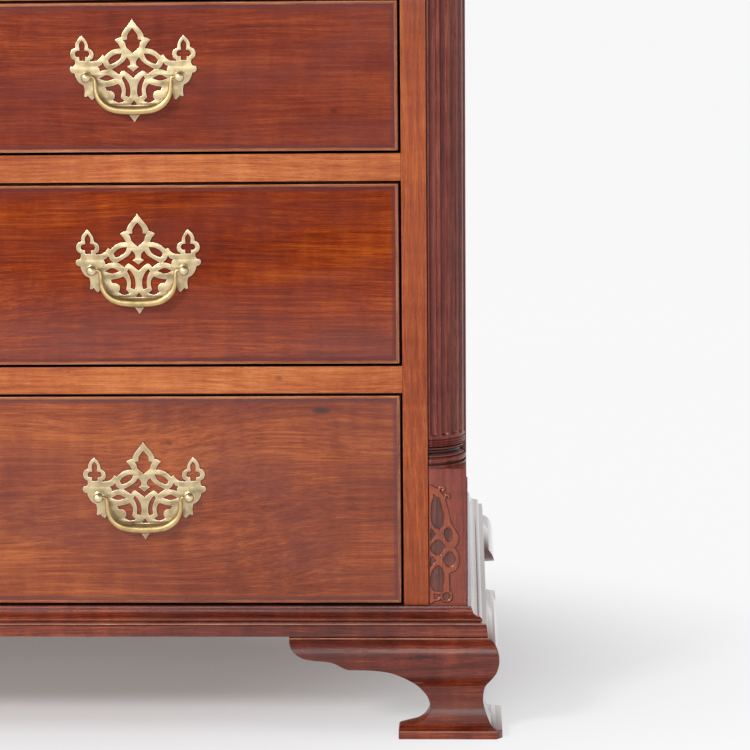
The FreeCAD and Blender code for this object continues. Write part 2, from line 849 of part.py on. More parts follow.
def build_bail():
    """Swelling bail: a many-sided bar, facet by facet, along a squared half loop."""
    spots = bail_stations()
    rings = [bail_ring(spots, number) for number in range(len(spots))]
    faces = [Part.Face(Part.makePolygon(ring + ring[:1])) for ring in (rings[0], rings[-1])]
    for ring, following in zip(rings, rings[1:]):
        for step in range(BAIL_SIDES):
            beside = (step + 1) % BAIL_SIDES
            for triangle in (
                [ring[step], ring[beside], following[beside]],
                [ring[step], following[beside], following[step]],
            ):
                faces.append(Part.Face(Part.makePolygon(triangle + triangle[:1])))
    bail = doc.addObject("Part::Feature", "bail")
    bail.Shape = Part.makeSolid(Part.makeShell(faces))
    return bail


# ---------------------------------------------------------------- drawers

def build_drawer(number, plate, post, bail):
    """One drawer: beaded front, sides, back, bottom and its brasses."""
    name = f"drawer_{number}"
    half = f"({OPENING_EDGE} - face_gap)"
    low = f"({opening_bottom(number)} + face_gap)"
    high = f"({opening_bottom(number)} + opening_{number} - face_gap)"
    rest = f"({opening_bottom(number)} + run_clearance)"
    groove_low = f"({rest} + bottom_rise)"
    groove_high = f"({groove_low} + drawer_bottom)"
    side_top = f"({opening_bottom(number)} + opening_{number} - side_drop)"
    side_inner = f"({half} - drawer_side)"
    end = f"({BACK_INNER} - stop_gap)"
    pull_up = f"({opening_bottom(number)} + opening_{number} / 2 + pull_rise_{number})"

    front = new_body(f"{name}_front")
    outer = rectangle(f"-{half}", half, low, high)
    bead = "cock_bead_face"
    left_in, right_in = f"-({half} - {bead})", f"{half} - {bead}"
    low_in, high_in = f"{low} + {bead}", f"{high} - {bead}"
    inset = rectangle(left_in, right_in, low_in, high_in)
    add_pad(front, "XZ_Plane", [outer], "-front_thick", "front_thick - cock_bead_depth")
    add_pad(front, "XZ_Plane", [inset], "-cock_bead_depth", "cock_bead_depth")
    groove_end = f"({side_inner} + groove_depth)"
    groove = rectangle(f"-{groove_end}", groove_end, groove_low, groove_high)
    add_pocket(front, "XZ_Plane", [groove], "-front_thick", "groove_depth")
    post_spots = []
    for way in ("-", ""):
        for side in ("-", "+"):
            post_spots.append(f"{way}pull_across {side} pull_centres / 2")
    holes = [shank_hole(across, pull_up) for across in post_spots]
    add_pocket(front, "XZ_Plane", holes, "-front_thick", "front_thick")

    pieces = [front]
    strips = [
        [(f"-{half}", low), (half, low), (right_in, low_in), (left_in, low_in)],
        [(half, low), (half, high), (right_in, high_in), (right_in, low_in)],
        [(half, high), (f"-{half}", high), (left_in, high_in), (right_in, high_in)],
        [(f"-{half}", high), (f"-{half}", low), (left_in, low_in), (left_in, high_in)],
    ]
    beads = []
    for spot, strip in enumerate(strips):
        length = "cock_bead_depth + cock_bead_proud"
        beads.append(padded(f"{name}_bead_{spot + 1}", "XZ_Plane", [strip], "-cock_bead_depth", length))
    pieces.append(group(f"{name}_cock_bead", beads))

    section = [
        (side_inner, rest),
        (half, rest),
        (half, side_top),
        (side_inner, side_top),
        (side_inner, groove_high),
        (groove_end, groove_high),
        (groove_end, groove_low),
        (side_inner, groove_low),
    ]
    side = padded(f"{name}_side", "XZ_Plane", [section], f"-{end}", f"{end} - front_thick")
    pieces.append(pair(f"{name}_sides", side))
    back_at = (f"-{side_inner}", f"{end} - drawer_back", groove_high)
    back_size = (f"2 * {side_inner}", "drawer_back", f"{side_top} - back_drop - {groove_high}")
    pieces.append(board(f"{name}_back", back_at, back_size))
    bottom_at = (f"-{groove_end}", "front_thick - groove_depth", groove_low)
    bottom_size = (f"2 * {groove_end}", f"{end} - front_thick + groove_depth", "drawer_bottom")
    pieces.append(board(f"{name}_bottom", bottom_at, bottom_size))

    plates = []
    posts = []
    for side_name, way in (("left", "-"), ("right", "")):
        at = (f"{way}pull_across", FRONT_PLANE, pull_up)
        plates.append(copied(f"{name}_plate_{side_name}", plate, at))
        pieces.append(copied(f"{name}_bail_{side_name}", bail, (at[0], f"{at[1]} - pivot_stand", at[2])))
    for spot, across in enumerate(post_spots):
        at = (across, FRONT_PLANE, pull_up)
        posts.append(copied(f"{name}_post_{spot + 1}", post, at))
    pieces.append(group(f"{name}_plates", plates))
    pieces.append(group(f"{name}_posts", posts))
    return pieces


# ---------------------------------------------------------------- assembly

front_foot = build_front_foot()
rear_foot = build_rear_foot()
nodes = build_sides() + build_stiles() + [build_bottom(), build_top(), build_back_boards()]
nodes += build_frame() + build_base_moulding() + [build_top_moulding()]
nodes += [front_foot, mirrored("front_left_foot", front_foot)]
nodes += [rear_foot, mirrored("rear_left_foot", rear_foot)]
nodes += [build_glue_blocks()] + build_plinths() + build_columns()
brass = (build_plate(), build_post(), build_bail())
for drawer_number in DRAWERS:
    nodes += build_drawer(drawer_number, *brass)
doc.recompute()

for item in doc.Objects:
    if "Invalid" in item.State or "Error" in item.State:
        raise RuntimeError(f"{item.Label} is {item.State}")
for node in nodes:
    if node.Shape.isNull() or not node.Shape.isValid():
        raise RuntimeError(f"{node.Label} has no valid shape")

os.makedirs("parts", exist_ok=True)
for node in nodes:
    node.Shape.exportStep(f"parts/{node.Label}.step")
print(f"{len(nodes)} nodes, {sum(len(node.Shape.Solids) for node in nodes)} solids")
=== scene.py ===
"""Finishes and fine shapes of a mahogany chest of four long drawers on ogee bracket feet.

Lengths are millimetres everywhere except inside make_mesh and the stage,
which turn them into the frame's metres.
"""

import json
import logging
import math
from collections.abc import Callable, Iterable, Sequence
from dataclasses import dataclass, replace
from enum import Enum, IntEnum

import bmesh
import bpy
from mathutils import Matrix, Vector

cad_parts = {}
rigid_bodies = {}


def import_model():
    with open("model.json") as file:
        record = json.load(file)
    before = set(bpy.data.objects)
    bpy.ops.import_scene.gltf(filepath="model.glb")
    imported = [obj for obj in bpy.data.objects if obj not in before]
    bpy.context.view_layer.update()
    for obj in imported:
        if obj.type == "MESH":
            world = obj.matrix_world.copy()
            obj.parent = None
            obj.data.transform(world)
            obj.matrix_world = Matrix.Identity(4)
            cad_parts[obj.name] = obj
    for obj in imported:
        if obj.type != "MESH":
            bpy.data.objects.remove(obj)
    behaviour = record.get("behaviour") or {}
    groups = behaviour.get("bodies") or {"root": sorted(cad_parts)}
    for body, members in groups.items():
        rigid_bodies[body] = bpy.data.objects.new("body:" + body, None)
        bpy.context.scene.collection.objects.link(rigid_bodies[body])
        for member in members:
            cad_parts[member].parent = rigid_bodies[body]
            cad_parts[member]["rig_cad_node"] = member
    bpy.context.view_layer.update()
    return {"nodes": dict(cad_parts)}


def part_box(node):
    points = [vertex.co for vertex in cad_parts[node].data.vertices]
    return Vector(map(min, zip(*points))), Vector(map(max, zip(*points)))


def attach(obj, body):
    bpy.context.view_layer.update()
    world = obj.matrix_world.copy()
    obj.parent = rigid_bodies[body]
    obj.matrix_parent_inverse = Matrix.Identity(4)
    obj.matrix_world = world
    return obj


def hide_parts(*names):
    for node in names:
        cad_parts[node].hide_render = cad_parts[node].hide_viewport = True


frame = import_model()

LOG = logging.getLogger("chest")
MM = 0.001

Flat = tuple[float, float]
Spot = tuple[float, float, float]
Run = Sequence[Flat]
Skin = tuple[list[Spot], list[list[int]]]

# corners nearer than this are one, in metres; CAD corners carry a little more rounding
WELD = 1e-6
CAD_WELD = 2e-6
# an edge of a board is eased where it is longer than this, in millimetres,
# and turns by more than this, in degrees
SHORTEST_ARRIS = 6
LEAST_TURN = 40
# how much of a face's normal lies along an axis, where the face is square to
# it, nearly so, mostly so, or only leans that way
SQUARE = 0.999
NEARLY = 0.95
MOSTLY = 0.5
LEANING = 0.2
# place of the dark and of the light end on a colour ramp: noise keeps near its middle
RAMP_ENDS = (0.26, 0.74)
# a pale painted sheen standing in for a reflection, a knot, and the darker rim of a panel next to
# its bead
PAINTED_SHEEN = "E6DCDC"
KNOT = "40221C"
BORDER_DARK = "5C2E30"


# ---------------------------------------------------------------- small tools

def linear(code: str) -> tuple[float, float, float, float]:
    """Turn an sRGB hex colour into the linear colour that a shader takes.

    Args:
        code: six hex digits.

    Returns:
        Linear red, green, blue and a full alpha.
    """
    shades = []
    for start in (0, 2, 4):
        shade = int(code[start:start + 2], 16) / 255
        shades.append(shade / 12.92 if shade <= 0.04045 else ((shade + 0.055) / 1.055) ** 2.4)
    return (*shades, 1.0)


def smoothed(run: Run, cuts: int = 4) -> list[Flat]:
    """Draw a smooth curve through a run of points.

    Args:
        run: points on the curve; two points give a straight line.
        cuts: pieces between two points.

    Returns:
        The curve as points, both ends included.
    """
    if len(run) == 2:
        return list(run)
    first = tuple(2 * a - b for a, b in zip(run[0], run[1]))
    last = tuple(2 * a - b for a, b in zip(run[-1], run[-2]))
    posts = [first, *run, last]
    curve = []
    for before, start, end, after in zip(posts, posts[1:], posts[2:], posts[3:]):
        for cut in range(cuts):
            t = cut / cuts
            curve.append(tuple(
                0.5 * (
                    2 * q + (r - p) * t + (2 * p - 5 * q + 4 * r - s) * t**2
                    + (3 * q - p - 3 * r + s) * t**3
                )
                for p, q, r, s in zip(before, start, end, after)
            ))
    return curve + [tuple(run[-1])]


def joined(runs: Iterable[Run]) -> list[Flat]:
    """Join smooth runs at their corners into one outline.

    Args:
        runs: each begins where the one before it ends.

    Returns:
        The whole outline, each corner once.
    """
    outline: list[Flat] = []
    for run in runs:
        outline += smoothed(run)[1 if outline else 0:]
    return outline


def held(share: float) -> float:
    """Hold a share between 0 and 1."""
    return min(max(share, 0), 1)


def read_off(curve: Sequence[Flat], height: float) -> float:
    """Find the first coordinate of a rising curve at a height.

    Args:
        curve: (value, height) points in order of height.
        height: where to read it.

    Returns:
        The value there.
    """
    for (low_value, low), (high_value, high) in zip(curve, curve[1:]):
        if height <= high:
            share = (height - low) / (high - low) if high > low else 1.0
            return low_value + (high_value - low_value) * max(share, 0.0)
    return curve[-1][0]


@dataclass(frozen=True)
class Span:
    """Box of a CAD node, in millimetres."""

    left: float
    right: float
    front: float
    back: float
    low: float
    high: float

    @classmethod
    def of(cls, node: str) -> "Span":
        """Read the box of a node from the frame."""
        low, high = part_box(node)
        return cls(*(edge / MM for pair in zip(low, high) for edge in pair))


def make_mesh(
    name: str, spots: Sequence[Spot], faces: Sequence[Sequence[int]], crease: float = 35.0
) -> bpy.types.Object:
    """Make an object from corners and faces.

    Args:
        name: the piece's name.
        spots: corners in millimetres.
        faces: corner numbers of each face.
        crease: edges that turn more than this stay sharp, in degrees.

    Returns:
        The object, linked to the scene.
    """
    mesh = bpy.data.meshes.new(name)
    mesh.from_pydata([Vector(spot) * MM for spot in spots], [], [list(face) for face in faces])
    work = bmesh.new()
    work.from_mesh(mesh)
    return welded(name, mesh, work, crease)


def welded(
    name: str, mesh: bpy.types.Mesh, work: bmesh.types.BMesh, crease: float
) -> bpy.types.Object:
    """Weld the corners that meet, turn every face outwards and finish the mesh.

    Args:
        name: the piece's name.
        mesh: the mesh to write to.
        work: the bmesh, which is freed.
        crease: edges that turn more than this stay sharp, in degrees.

    Returns:
        The object, linked to the scene.
    """
    bmesh.ops.remove_doubles(work, verts=work.verts, dist=WELD)
    bmesh.ops.recalc_face_normals(work, faces=work.faces)
    return finished_mesh(name, mesh, work, crease)


def finished_mesh(
    name: str, mesh: bpy.types.Mesh, work: bmesh.types.BMesh, crease: float
) -> bpy.types.Object:
    """Write a bmesh back, shade it smooth up to a crease and link its object.

    Args:
        name: the piece's name.
        mesh: the mesh to write to.
        work: the finished bmesh, which is freed.
        crease: edges that turn more than this stay sharp, in degrees.

    Returns:
        The object, linked to the scene.
    """
    work.to_mesh(mesh)
    work.free()
    mesh.shade_smooth()
    mesh.set_sharp_from_angle(angle=math.radians(crease))
    piece = bpy.data.objects.new(name, mesh)
    bpy.context.scene.collection.objects.link(piece)
    return piece


def loft(rings: Sequence[Sequence[Spot]]) -> Skin:
    """Skin closed rings of equal length and cap both ends.

    Args:
        rings: sections in order along the piece.

    Returns:
        Corners and faces for make_mesh.
    """
    count = len(rings[0])
    spots = [spot for ring in rings for spot in ring]
    faces = [list(range(count)), list(range(len(spots) - count, len(spots)))]
    for start in range(0, len(spots) - count, count):
        for step in range(count):
            beside = (step + 1) % count
            faces.append(
                [start + step, start + beside, start + count + beside, start + count + step]
            )
    return spots, faces


def several(parts: Iterable[Skin]) -> Skin:
    """Put several skins into one set of corners and faces.

    Args:
        parts: corners and faces of each.

    Returns:
        Corners and faces of them all.
    """
    spots: list[Spot] = []
    faces: list[list[int]] = []
    for more_spots, more_faces in parts:
        faces += [[number + len(spots) for number in face] for face in more_faces]
        spots += more_spots
    return spots, faces


def eased(node: str, ease: float) -> bpy.types.Object:
    """Copy a CAD board with its arrises rubbed off, as a scraper leaves them.

    Args:
        node: the CAD node to copy.
        ease: width of the rubbed edge in millimetres.

    Returns:
        The new object.
    """
    mesh = bpy.data.meshes.new(f"{node}_eased")
    work = bmesh.new()
    work.from_mesh(frame["nodes"][node].data)
    bmesh.ops.remove_doubles(work, verts=work.verts, dist=CAD_WELD)
    bmesh.ops.dissolve_limit(work, angle_limit=math.radians(1), verts=work.verts, edges=work.edges)
    arrises = [
        edge for edge in work.edges
        if len(edge.link_faces) == 2 and edge.calc_length() > SHORTEST_ARRIS * MM
        and edge.calc_face_angle() > math.radians(LEAST_TURN) and edge.is_convex
    ]
    bmesh.ops.bevel(
        work, geom=arrises, offset=ease * MM, offset_type="OFFSET", segments=2, profile=0.6,
        affect="EDGES", clamp_overlap=False,
    )
    piece = finished_mesh(mesh.name, mesh, work, crease=30)
    # The wide faces keep their own normals, so that the rubbed edges don't shade them.
    for face in mesh.polygons:
        face.use_smooth = max(abs(part) for part in face.normal) < SQUARE
    return piece


def add_node(
    tree: bpy.types.NodeTree, kind: str, inputs: dict | None = None, **settings
) -> bpy.types.Node:
    """Add a shader node with its settings and links.

    Args:
        tree: where it goes.
        kind: Blender's type name.
        inputs: socket name or number to a value, or to the socket that feeds it.
        settings: the node's own properties.

    Returns:
        The node.
    """
    node = tree.nodes.new(kind)
    for name, setting in settings.items():
        setattr(node, name, setting)
    for name, value in (inputs or {}).items():
        if isinstance(value, bpy.types.NodeSocket):
            tree.links.new(value, node.inputs[name])
        else:
            node.inputs[name].default_value = value
    return node


# ---------------------------------------------------------------- finishes

class Grain(Enum):
    """Which way the fibres of a board run, as the order of its own axes."""

    ACROSS = ("X", "Z", "Y")
    DEEP = ("Y", "Z", "X")
    UP = ("Z", "X", "Y")


@dataclass(frozen=True)
class Figure:
    """A noise drawn out along the grain, its marks sized in millimetres."""

    length: float
    width: float
    # finer octaves
    detail: float
    # moves it off the other noises
    shift: float


# fibres stray, timber is figured broadly and in ribbons, and polish dulls and ages in clouds
STRAYING = Figure(420, 150, detail=1, shift=11)
BROAD = Figure(300, 60, detail=3, shift=23)
RIBBON = Figure(17, 58, detail=2, shift=51)
HAZE = Figure(90, 60, detail=3, shift=93)
AGEING = Figure(160, 55, detail=3, shift=111)
# the noise at which a pore, a dull cloud or an aged patch begins, and at which it is full
PORE_EDGE = (0.64, 0.74)
HAZE_EDGE = (0.3, 0.7)
AGEING_EDGE = (0.42, 0.68)
# how far from its middle a bruise begins and is full, in cells; a knot is full and has gone
# at these squares of the distance, in half sizes
BRUISE_EDGE = (0.045, 0.02)
KNOT_EDGE = (0.2, 1.2)


@dataclass(frozen=True)
class Wood:
    """A sawn and planed timber under its finish, figured in real millimetres.

    The colours run from its dark streaks to its light ones. Gloss is the
    roughness of its polish, sheen how strongly that polish reflects, and cool
    the tone that it has gone in patches.
    """

    name: str
    dark: str
    middle: str
    light: str
    pore: str
    grain: Grain
    seed: float = 0.0
    # streaks and fine lines of the growth rings, 1 to 4 mm wide
    streak_width: float = 4.0
    streak_length: float = 190.0
    line_width: float = 1.15
    line_length: float = 42.0
    # pores, drawn 0.8 mm wide: the real ones, of a tenth of that, wouldn't show
    pore_width: float = 0.8
    pore_length: float = 5.0
    pore_share: float = 0.3
    # how far a fibre strays from straight, and the share of the ribbon figure
    wander: float = 16.0
    mottle: float = 0.14
    gloss: float = 0.26
    # how much smoother and rougher than its gloss handling has left it in clouds
    handled: Flat = (-0.06, 0.1)
    sheen: float = 0.5
    relief: float = 0.12
    # share of a clear polish over the wood, which whitens it at a glancing angle
    coat: float = 0.0
    coat_gloss: float = 0.12
    cool: str = ""
    cool_share: float = 0.55
    # how far apart the bruises are along and across the grain
    bruises: Flat = (130.0, 90.0)
    bruise_share: float = 0.6
    # height to which a painted sheen, a pale veil standing in for a reflection, rises from the
    # lower edge, and how far below that it is full
    painted_sheen_top: float = 0.0
    painted_sheen_fade: float = 90.0
    painted_sheen_share: float = 0.05
    # half width, middle height and half height of a panel whose border is painted darker
    border: tuple[float, float, float] | None = None
    # the border is full to the first of these widths and has gone at the second
    border_width: Flat = (3.0, 5.5)
    border_share: float = 0.6
    # across and up to the middle of a small knot, and half its size along and across the grain
    knot: Flat | None = None
    knot_size: Flat = (10.0, 3.5)
    knot_share: float = 0.85

    def _field(
        self, tree: bpy.types.NodeTree, along: bpy.types.NodeSocket, figure: Figure
    ) -> bpy.types.NodeSocket:
        """Add noise drawn out along the grain.

        Args:
            tree: the material's nodes.
            along: coordinates in millimetres, grain first.
            figure: the size of its marks.

        Returns:
            The noise, from 0 to 1.
        """
        place = add_node(tree, "ShaderNodeMapping", {
            "Vector": along,
            "Location": (self.seed * 3.7 + figure.shift, self.seed * 1.3, figure.shift),
            "Scale": (1 / figure.length, 1 / figure.width, 1 / figure.width),
        })
        cloud = add_node(tree, "ShaderNodeTexNoise", {
            "Vector": place.outputs[0], "Scale": 1.0, "Detail": figure.detail, "Roughness": 0.55,
        })
        return cloud.outputs["Fac"]

    def build(self) -> bpy.types.Material:
        """Make the material, unless it is there already.

        Returns:
            The material.
        """
        if self.name in bpy.data.materials:
            return bpy.data.materials[self.name]
        material = bpy.data.materials.new(self.name)
        material.use_nodes = True
        tree = material.node_tree
        shader = tree.nodes["Principled BSDF"]
        place = add_node(tree, "ShaderNodeTexCoord")
        axes = add_node(tree, "ShaderNodeSeparateXYZ", {0: place.outputs["Object"]})
        turned = add_node(tree, "ShaderNodeCombineXYZ", {
            number: axes.outputs[axis] for number, axis in enumerate(self.grain.value)
        })
        sized = add_node(
            tree, "ShaderNodeVectorMath", {0: turned.outputs[0], 1: (1 / MM,) * 3},
            operation="MULTIPLY"
        )
        # The fibres wander a little, so that no streak is ruled straight.
        drift = self._field(tree, sized.outputs[0], STRAYING)
        swing = add_node(tree, "ShaderNodeMath", {0: drift, 1: -0.5}, operation="ADD")
        sway = add_node(
            tree, "ShaderNodeMath", {0: swing.outputs[0], 1: self.wander * 2}, operation="MULTIPLY"
        )
        side = add_node(tree, "ShaderNodeCombineXYZ", {1: sway.outputs[0], 2: sway.outputs[0]})
        along = add_node(
            tree, "ShaderNodeVectorMath", {0: sized.outputs[0], 1: side.outputs[0]}, operation="ADD"
        )
        fibres = along.outputs[0]
        streak = self._field(
            tree, fibres, Figure(self.streak_length, self.streak_width, detail=4, shift=0)
        )
        broad = self._field(tree, fibres, BROAD)
        line = self._field(
            tree, fibres, Figure(self.line_length, self.line_width, detail=3, shift=37)
        )
        # A ribbon of light and dark stands across the grain where the fibres turn over.
        ribbon = self._field(tree, fibres, RIBBON)
        pores = self._field(
            tree, fibres, Figure(self.pore_length, self.pore_width, detail=1, shift=71)
        )
        shares = ((streak, 0.26), (broad, 0.3), (line, 0.32), (ribbon, self.mottle), (pores, 0.14))
        tone = self._blend(tree, shares)
        colour = add_node(tree, "ShaderNodeValToRGB", {0: tone})
        stops = colour.color_ramp.elements
        stops[0].position, stops[0].color = RAMP_ENDS[0], linear(self.dark)
        stops[1].position, stops[1].color = RAMP_ENDS[1], linear(self.light)
        stops.new(0.5).color = linear(self.middle)
        cut = add_node(tree, "ShaderNodeMapRange", {
            "Value": pores, "From Min": PORE_EDGE[0], "From Max": PORE_EDGE[1], "To Min": 0.0,
            "To Max": self.pore_share,
        })
        skin = self._over(tree, colour.outputs[0], cut.outputs[0], self.pore)
        if self.cool:
            # Old polish goes brown-violet in soft patches the size of a hand.
            patch = self._field(tree, sized.outputs[0], AGEING)
            share = add_node(tree, "ShaderNodeMapRange", {
                "Value": patch, "From Min": AGEING_EDGE[0], "From Max": AGEING_EDGE[1],
                "To Min": 0.0, "To Max": self.cool_share,
            })
            skin = self._over(tree, skin, share.outputs[0], self.cool)
        skin = self._marked(tree, sized.outputs[0], skin)
        # A pale painted sheen stands in for a reflection low on some boards.
        if self.painted_sheen_top:
            skin = self._with_painted_sheen(tree, axes, skin)
        if self.knot:
            skin = self._knotted(tree, axes, skin)
        if self.border:
            skin = self._bordered(tree, axes, skin)
        tree.links.new(skin, shader.inputs["Base Color"])
        # Handling has left the polish duller in clouds.
        haze = self._field(tree, sized.outputs[0], HAZE)
        smoother, rougher = self.handled
        rub = add_node(tree, "ShaderNodeMapRange", {
            "Value": haze, "From Min": HAZE_EDGE[0], "From Max": HAZE_EDGE[1],
            "To Min": self.gloss + smoother, "To Max": self.gloss + rougher,
        })
        tree.links.new(rub.outputs[0], shader.inputs["Roughness"])
        shader.inputs["Specular IOR Level"].default_value = self.sheen
        shader.inputs["Coat Weight"].default_value = self.coat
        shader.inputs["Coat Roughness"].default_value = self.coat_gloss
        dents = self._blend(tree, ((line, 0.5), (cut.outputs[0], -0.8)))
        bump = add_node(
            tree, "ShaderNodeBump", {"Height": dents, "Distance": self.relief * MM, "Strength": 0.6}
        )
        tree.links.new(bump.outputs[0], shader.inputs["Normal"])
        return material

    @staticmethod
    def _over(
        tree: bpy.types.NodeTree, below: bpy.types.NodeSocket, share: bpy.types.NodeSocket,
        code: str,
    ) -> bpy.types.NodeSocket:
        """Lay a colour over another by a share.

        Args:
            tree: the material's nodes.
            below: the colour below.
            share: how much of the new colour, from 0 to 1.
            code: the new colour in hex.

        Returns:
            The mixed colour.
        """
        return add_node(
            tree, "ShaderNodeMix", {0: share, 6: below, 7: linear(code)}, data_type="RGBA"
        ).outputs[2]

    def _marked(
        self, tree: bpy.types.NodeTree, sized: bpy.types.NodeSocket, below: bpy.types.NodeSocket
    ) -> bpy.types.NodeSocket:
        """Scatter the small dark bruises that a long life leaves.

        Args:
            tree: the material's nodes.
            sized: coordinates in millimetres.
            below: the colour below.

        Returns:
            The colour with bruises of 2 to 4 mm, a hand apart.
        """
        along, across = self.bruises
        place = add_node(tree, "ShaderNodeMapping", {
            "Vector": sized, "Location": (self.seed, self.seed * 2.1, 0),
            "Scale": (1 / along, 1 / across, 1 / across),
        })
        cells = add_node(tree, "ShaderNodeTexVoronoi", {"Vector": place.outputs[0], "Scale": 1.0})
        near = add_node(tree, "ShaderNodeMapRange", {
            "Value": cells.outputs["Distance"], "From Min": BRUISE_EDGE[0],
            "From Max": BRUISE_EDGE[1], "To Min": 0.0, "To Max": self.bruise_share,
        })
        return self._over(tree, below, near.outputs[0], self.pore)

    def _with_painted_sheen(
        self, tree: bpy.types.NodeTree, axes: bpy.types.Node, below: bpy.types.NodeSocket
    ) -> bpy.types.NodeSocket:
        """Paint a thin pale sheen rising from a board's lower edge, standing in for its reflection.

        Args:
            tree: the material's nodes.
            axes: the board's separate axes.
            below: the colour below.

        Returns:
            The colour with its painted sheen.
        """
        height = add_node(tree, "ShaderNodeMapRange", {
            "Value": axes.outputs["Z"], "From Min": self.painted_sheen_top * MM,
            "From Max": (self.painted_sheen_top - self.painted_sheen_fade) * MM, "To Min": 0.0,
            "To Max": self.painted_sheen_share,
        })
        return self._over(tree, below, height.outputs[0], PAINTED_SHEEN)

    def _knotted(
        self, tree: bpy.types.NodeTree, axes: bpy.types.Node, below: bpy.types.NodeSocket
    ) -> bpy.types.NodeSocket:
        """Set a small dark knot in a board.

        Args:
            tree: the material's nodes.
            axes: the board's separate axes.
            below: the colour below.

        Returns:
            The colour with its knot.
        """
        squares = []
        for axis, centre, reach in zip("XZ", self.knot, self.knot_size):
            off = add_node(
                tree, "ShaderNodeMath", {0: axes.outputs[axis], 1: centre * MM},
                operation="SUBTRACT"
            )
            part = add_node(
                tree, "ShaderNodeMath", {0: off.outputs[0], 1: reach * MM}, operation="DIVIDE"
            )
            squares.append(add_node(
                tree, "ShaderNodeMath", {0: part.outputs[0], 1: part.outputs[0]},
                operation="MULTIPLY"
            ))
        total = add_node(
            tree, "ShaderNodeMath", {0: squares[0].outputs[0], 1: squares[1].outputs[0]},
            operation="ADD"
        )
        share = add_node(tree, "ShaderNodeMapRange", {
            "Value": total.outputs[0], "From Min": KNOT_EDGE[0], "From Max": KNOT_EDGE[1],
            "To Min": self.knot_share, "To Max": 0.0,
        })
        return self._over(tree, below, share.outputs[0], KNOT)

    def _bordered(
        self, tree: bpy.types.NodeTree, axes: bpy.types.Node, below: bpy.types.NodeSocket
    ) -> bpy.types.NodeSocket:
        """Darken the rim of a panel next to its bead.

        Args:
            tree: the material's nodes.
            axes: the board's separate axes.
            below: the colour below.

        Returns:
            The colour with its dark border.
        """
        half_wide, middle, half_tall = self.border
        gaps = []
        for axis, centre, half in (("X", 0.0, half_wide), ("Z", middle, half_tall)):
            off = add_node(
                tree, "ShaderNodeMath", {0: axes.outputs[axis], 1: centre * MM},
                operation="SUBTRACT"
            )
            away = add_node(tree, "ShaderNodeMath", {0: off.outputs[0]}, operation="ABSOLUTE")
            gaps.append(add_node(
                tree, "ShaderNodeMath", {0: half * MM, 1: away.outputs[0]}, operation="SUBTRACT"
            ))
        near = add_node(
            tree, "ShaderNodeMath", {0: gaps[0].outputs[0], 1: gaps[1].outputs[0]},
            operation="MINIMUM"
        )
        full, gone = self.border_width
        share = add_node(tree, "ShaderNodeMapRange", {
            "Value": near.outputs[0], "From Min": full * MM, "From Max": gone * MM,
            "To Min": self.border_share, "To Max": 0.0,
        })
        return self._over(tree, below, share.outputs[0], BORDER_DARK)

    @staticmethod
    def _blend(
        tree: bpy.types.NodeTree, shares: Sequence[tuple[bpy.types.NodeSocket, float]]
    ) -> bpy.types.NodeSocket:
        """Add fields about their middle, each by its share, about a half.

        Args:
            tree: the material's nodes.
            shares: each field and its share.

        Returns:
            The sum.
        """
        total = 0.5
        for field, share in shares:
            part = add_node(
                tree, "ShaderNodeMath", {0: field, 1: share * 2, 2: -share},
                operation="MULTIPLY_ADD"
            )
            whole = add_node(
                tree, "ShaderNodeMath", {0: total, 1: part.outputs[0]}, operation="ADD"
            )
            total = whole.outputs[0]
        return total


@dataclass(frozen=True)
class CastBrass:
    """Cast brass with its file marks rubbed down and a skin of old tarnish."""

    name: str
    bright: str
    dull: str
    tarnish: float
    gloss: float
    # the clouds that tarnish lies in, and the pits of the sand casting, which show as a soft grain
    cloud: float = 10.0
    pit: float = 0.8
    pit_depth: float = 0.05
    # the noise round which tarnish begins, and at which it is full
    tarnish_edge: Flat = (0.62, 0.75)
    # how much smoother and rougher than its gloss it is under clean and tarnished places
    handled: Flat = (-0.08, 0.12)

    def build(self) -> bpy.types.Material:
        """Make the material, unless it is there already.

        Returns:
            The material.
        """
        if self.name in bpy.data.materials:
            return bpy.data.materials[self.name]
        material = bpy.data.materials.new(self.name)
        material.use_nodes = True
        tree = material.node_tree
        shader = tree.nodes["Principled BSDF"]
        shader.inputs["Metallic"].default_value = 1.0
        place = add_node(tree, "ShaderNodeTexCoord")
        cloud = add_node(tree, "ShaderNodeTexNoise", {
            "Vector": place.outputs["Object"], "Scale": 1 / (self.cloud * MM), "Detail": 4.0,
        })
        begins, full = self.tarnish_edge
        skin = add_node(tree, "ShaderNodeMapRange", {
            "Value": cloud.outputs["Fac"], "From Min": begins - self.tarnish / 2,
            "From Max": full, "To Min": 0.0, "To Max": 1.0,
        })
        colour = add_node(tree, "ShaderNodeMix", {
            0: skin.outputs[0], 6: linear(self.bright), 7: linear(self.dull),
        }, data_type="RGBA")
        tree.links.new(colour.outputs[2], shader.inputs["Base Color"])
        smoother, rougher = self.handled
        rub = add_node(tree, "ShaderNodeMapRange", {
            "Value": cloud.outputs["Fac"], "To Min": self.gloss + smoother,
            "To Max": self.gloss + rougher,
        })
        tree.links.new(rub.outputs[0], shader.inputs["Roughness"])
        pits = add_node(tree, "ShaderNodeTexNoise", {
            "Vector": place.outputs["Object"], "Scale": 1 / (self.pit * MM), "Detail": 2.0,
        })
        bump = add_node(
            tree, "ShaderNodeBump",
            {"Height": pits.outputs["Fac"], "Distance": self.pit_depth * MM, "Strength": 0.5}
        )
        tree.links.new(bump.outputs[0], shader.inputs["Normal"])
        return material


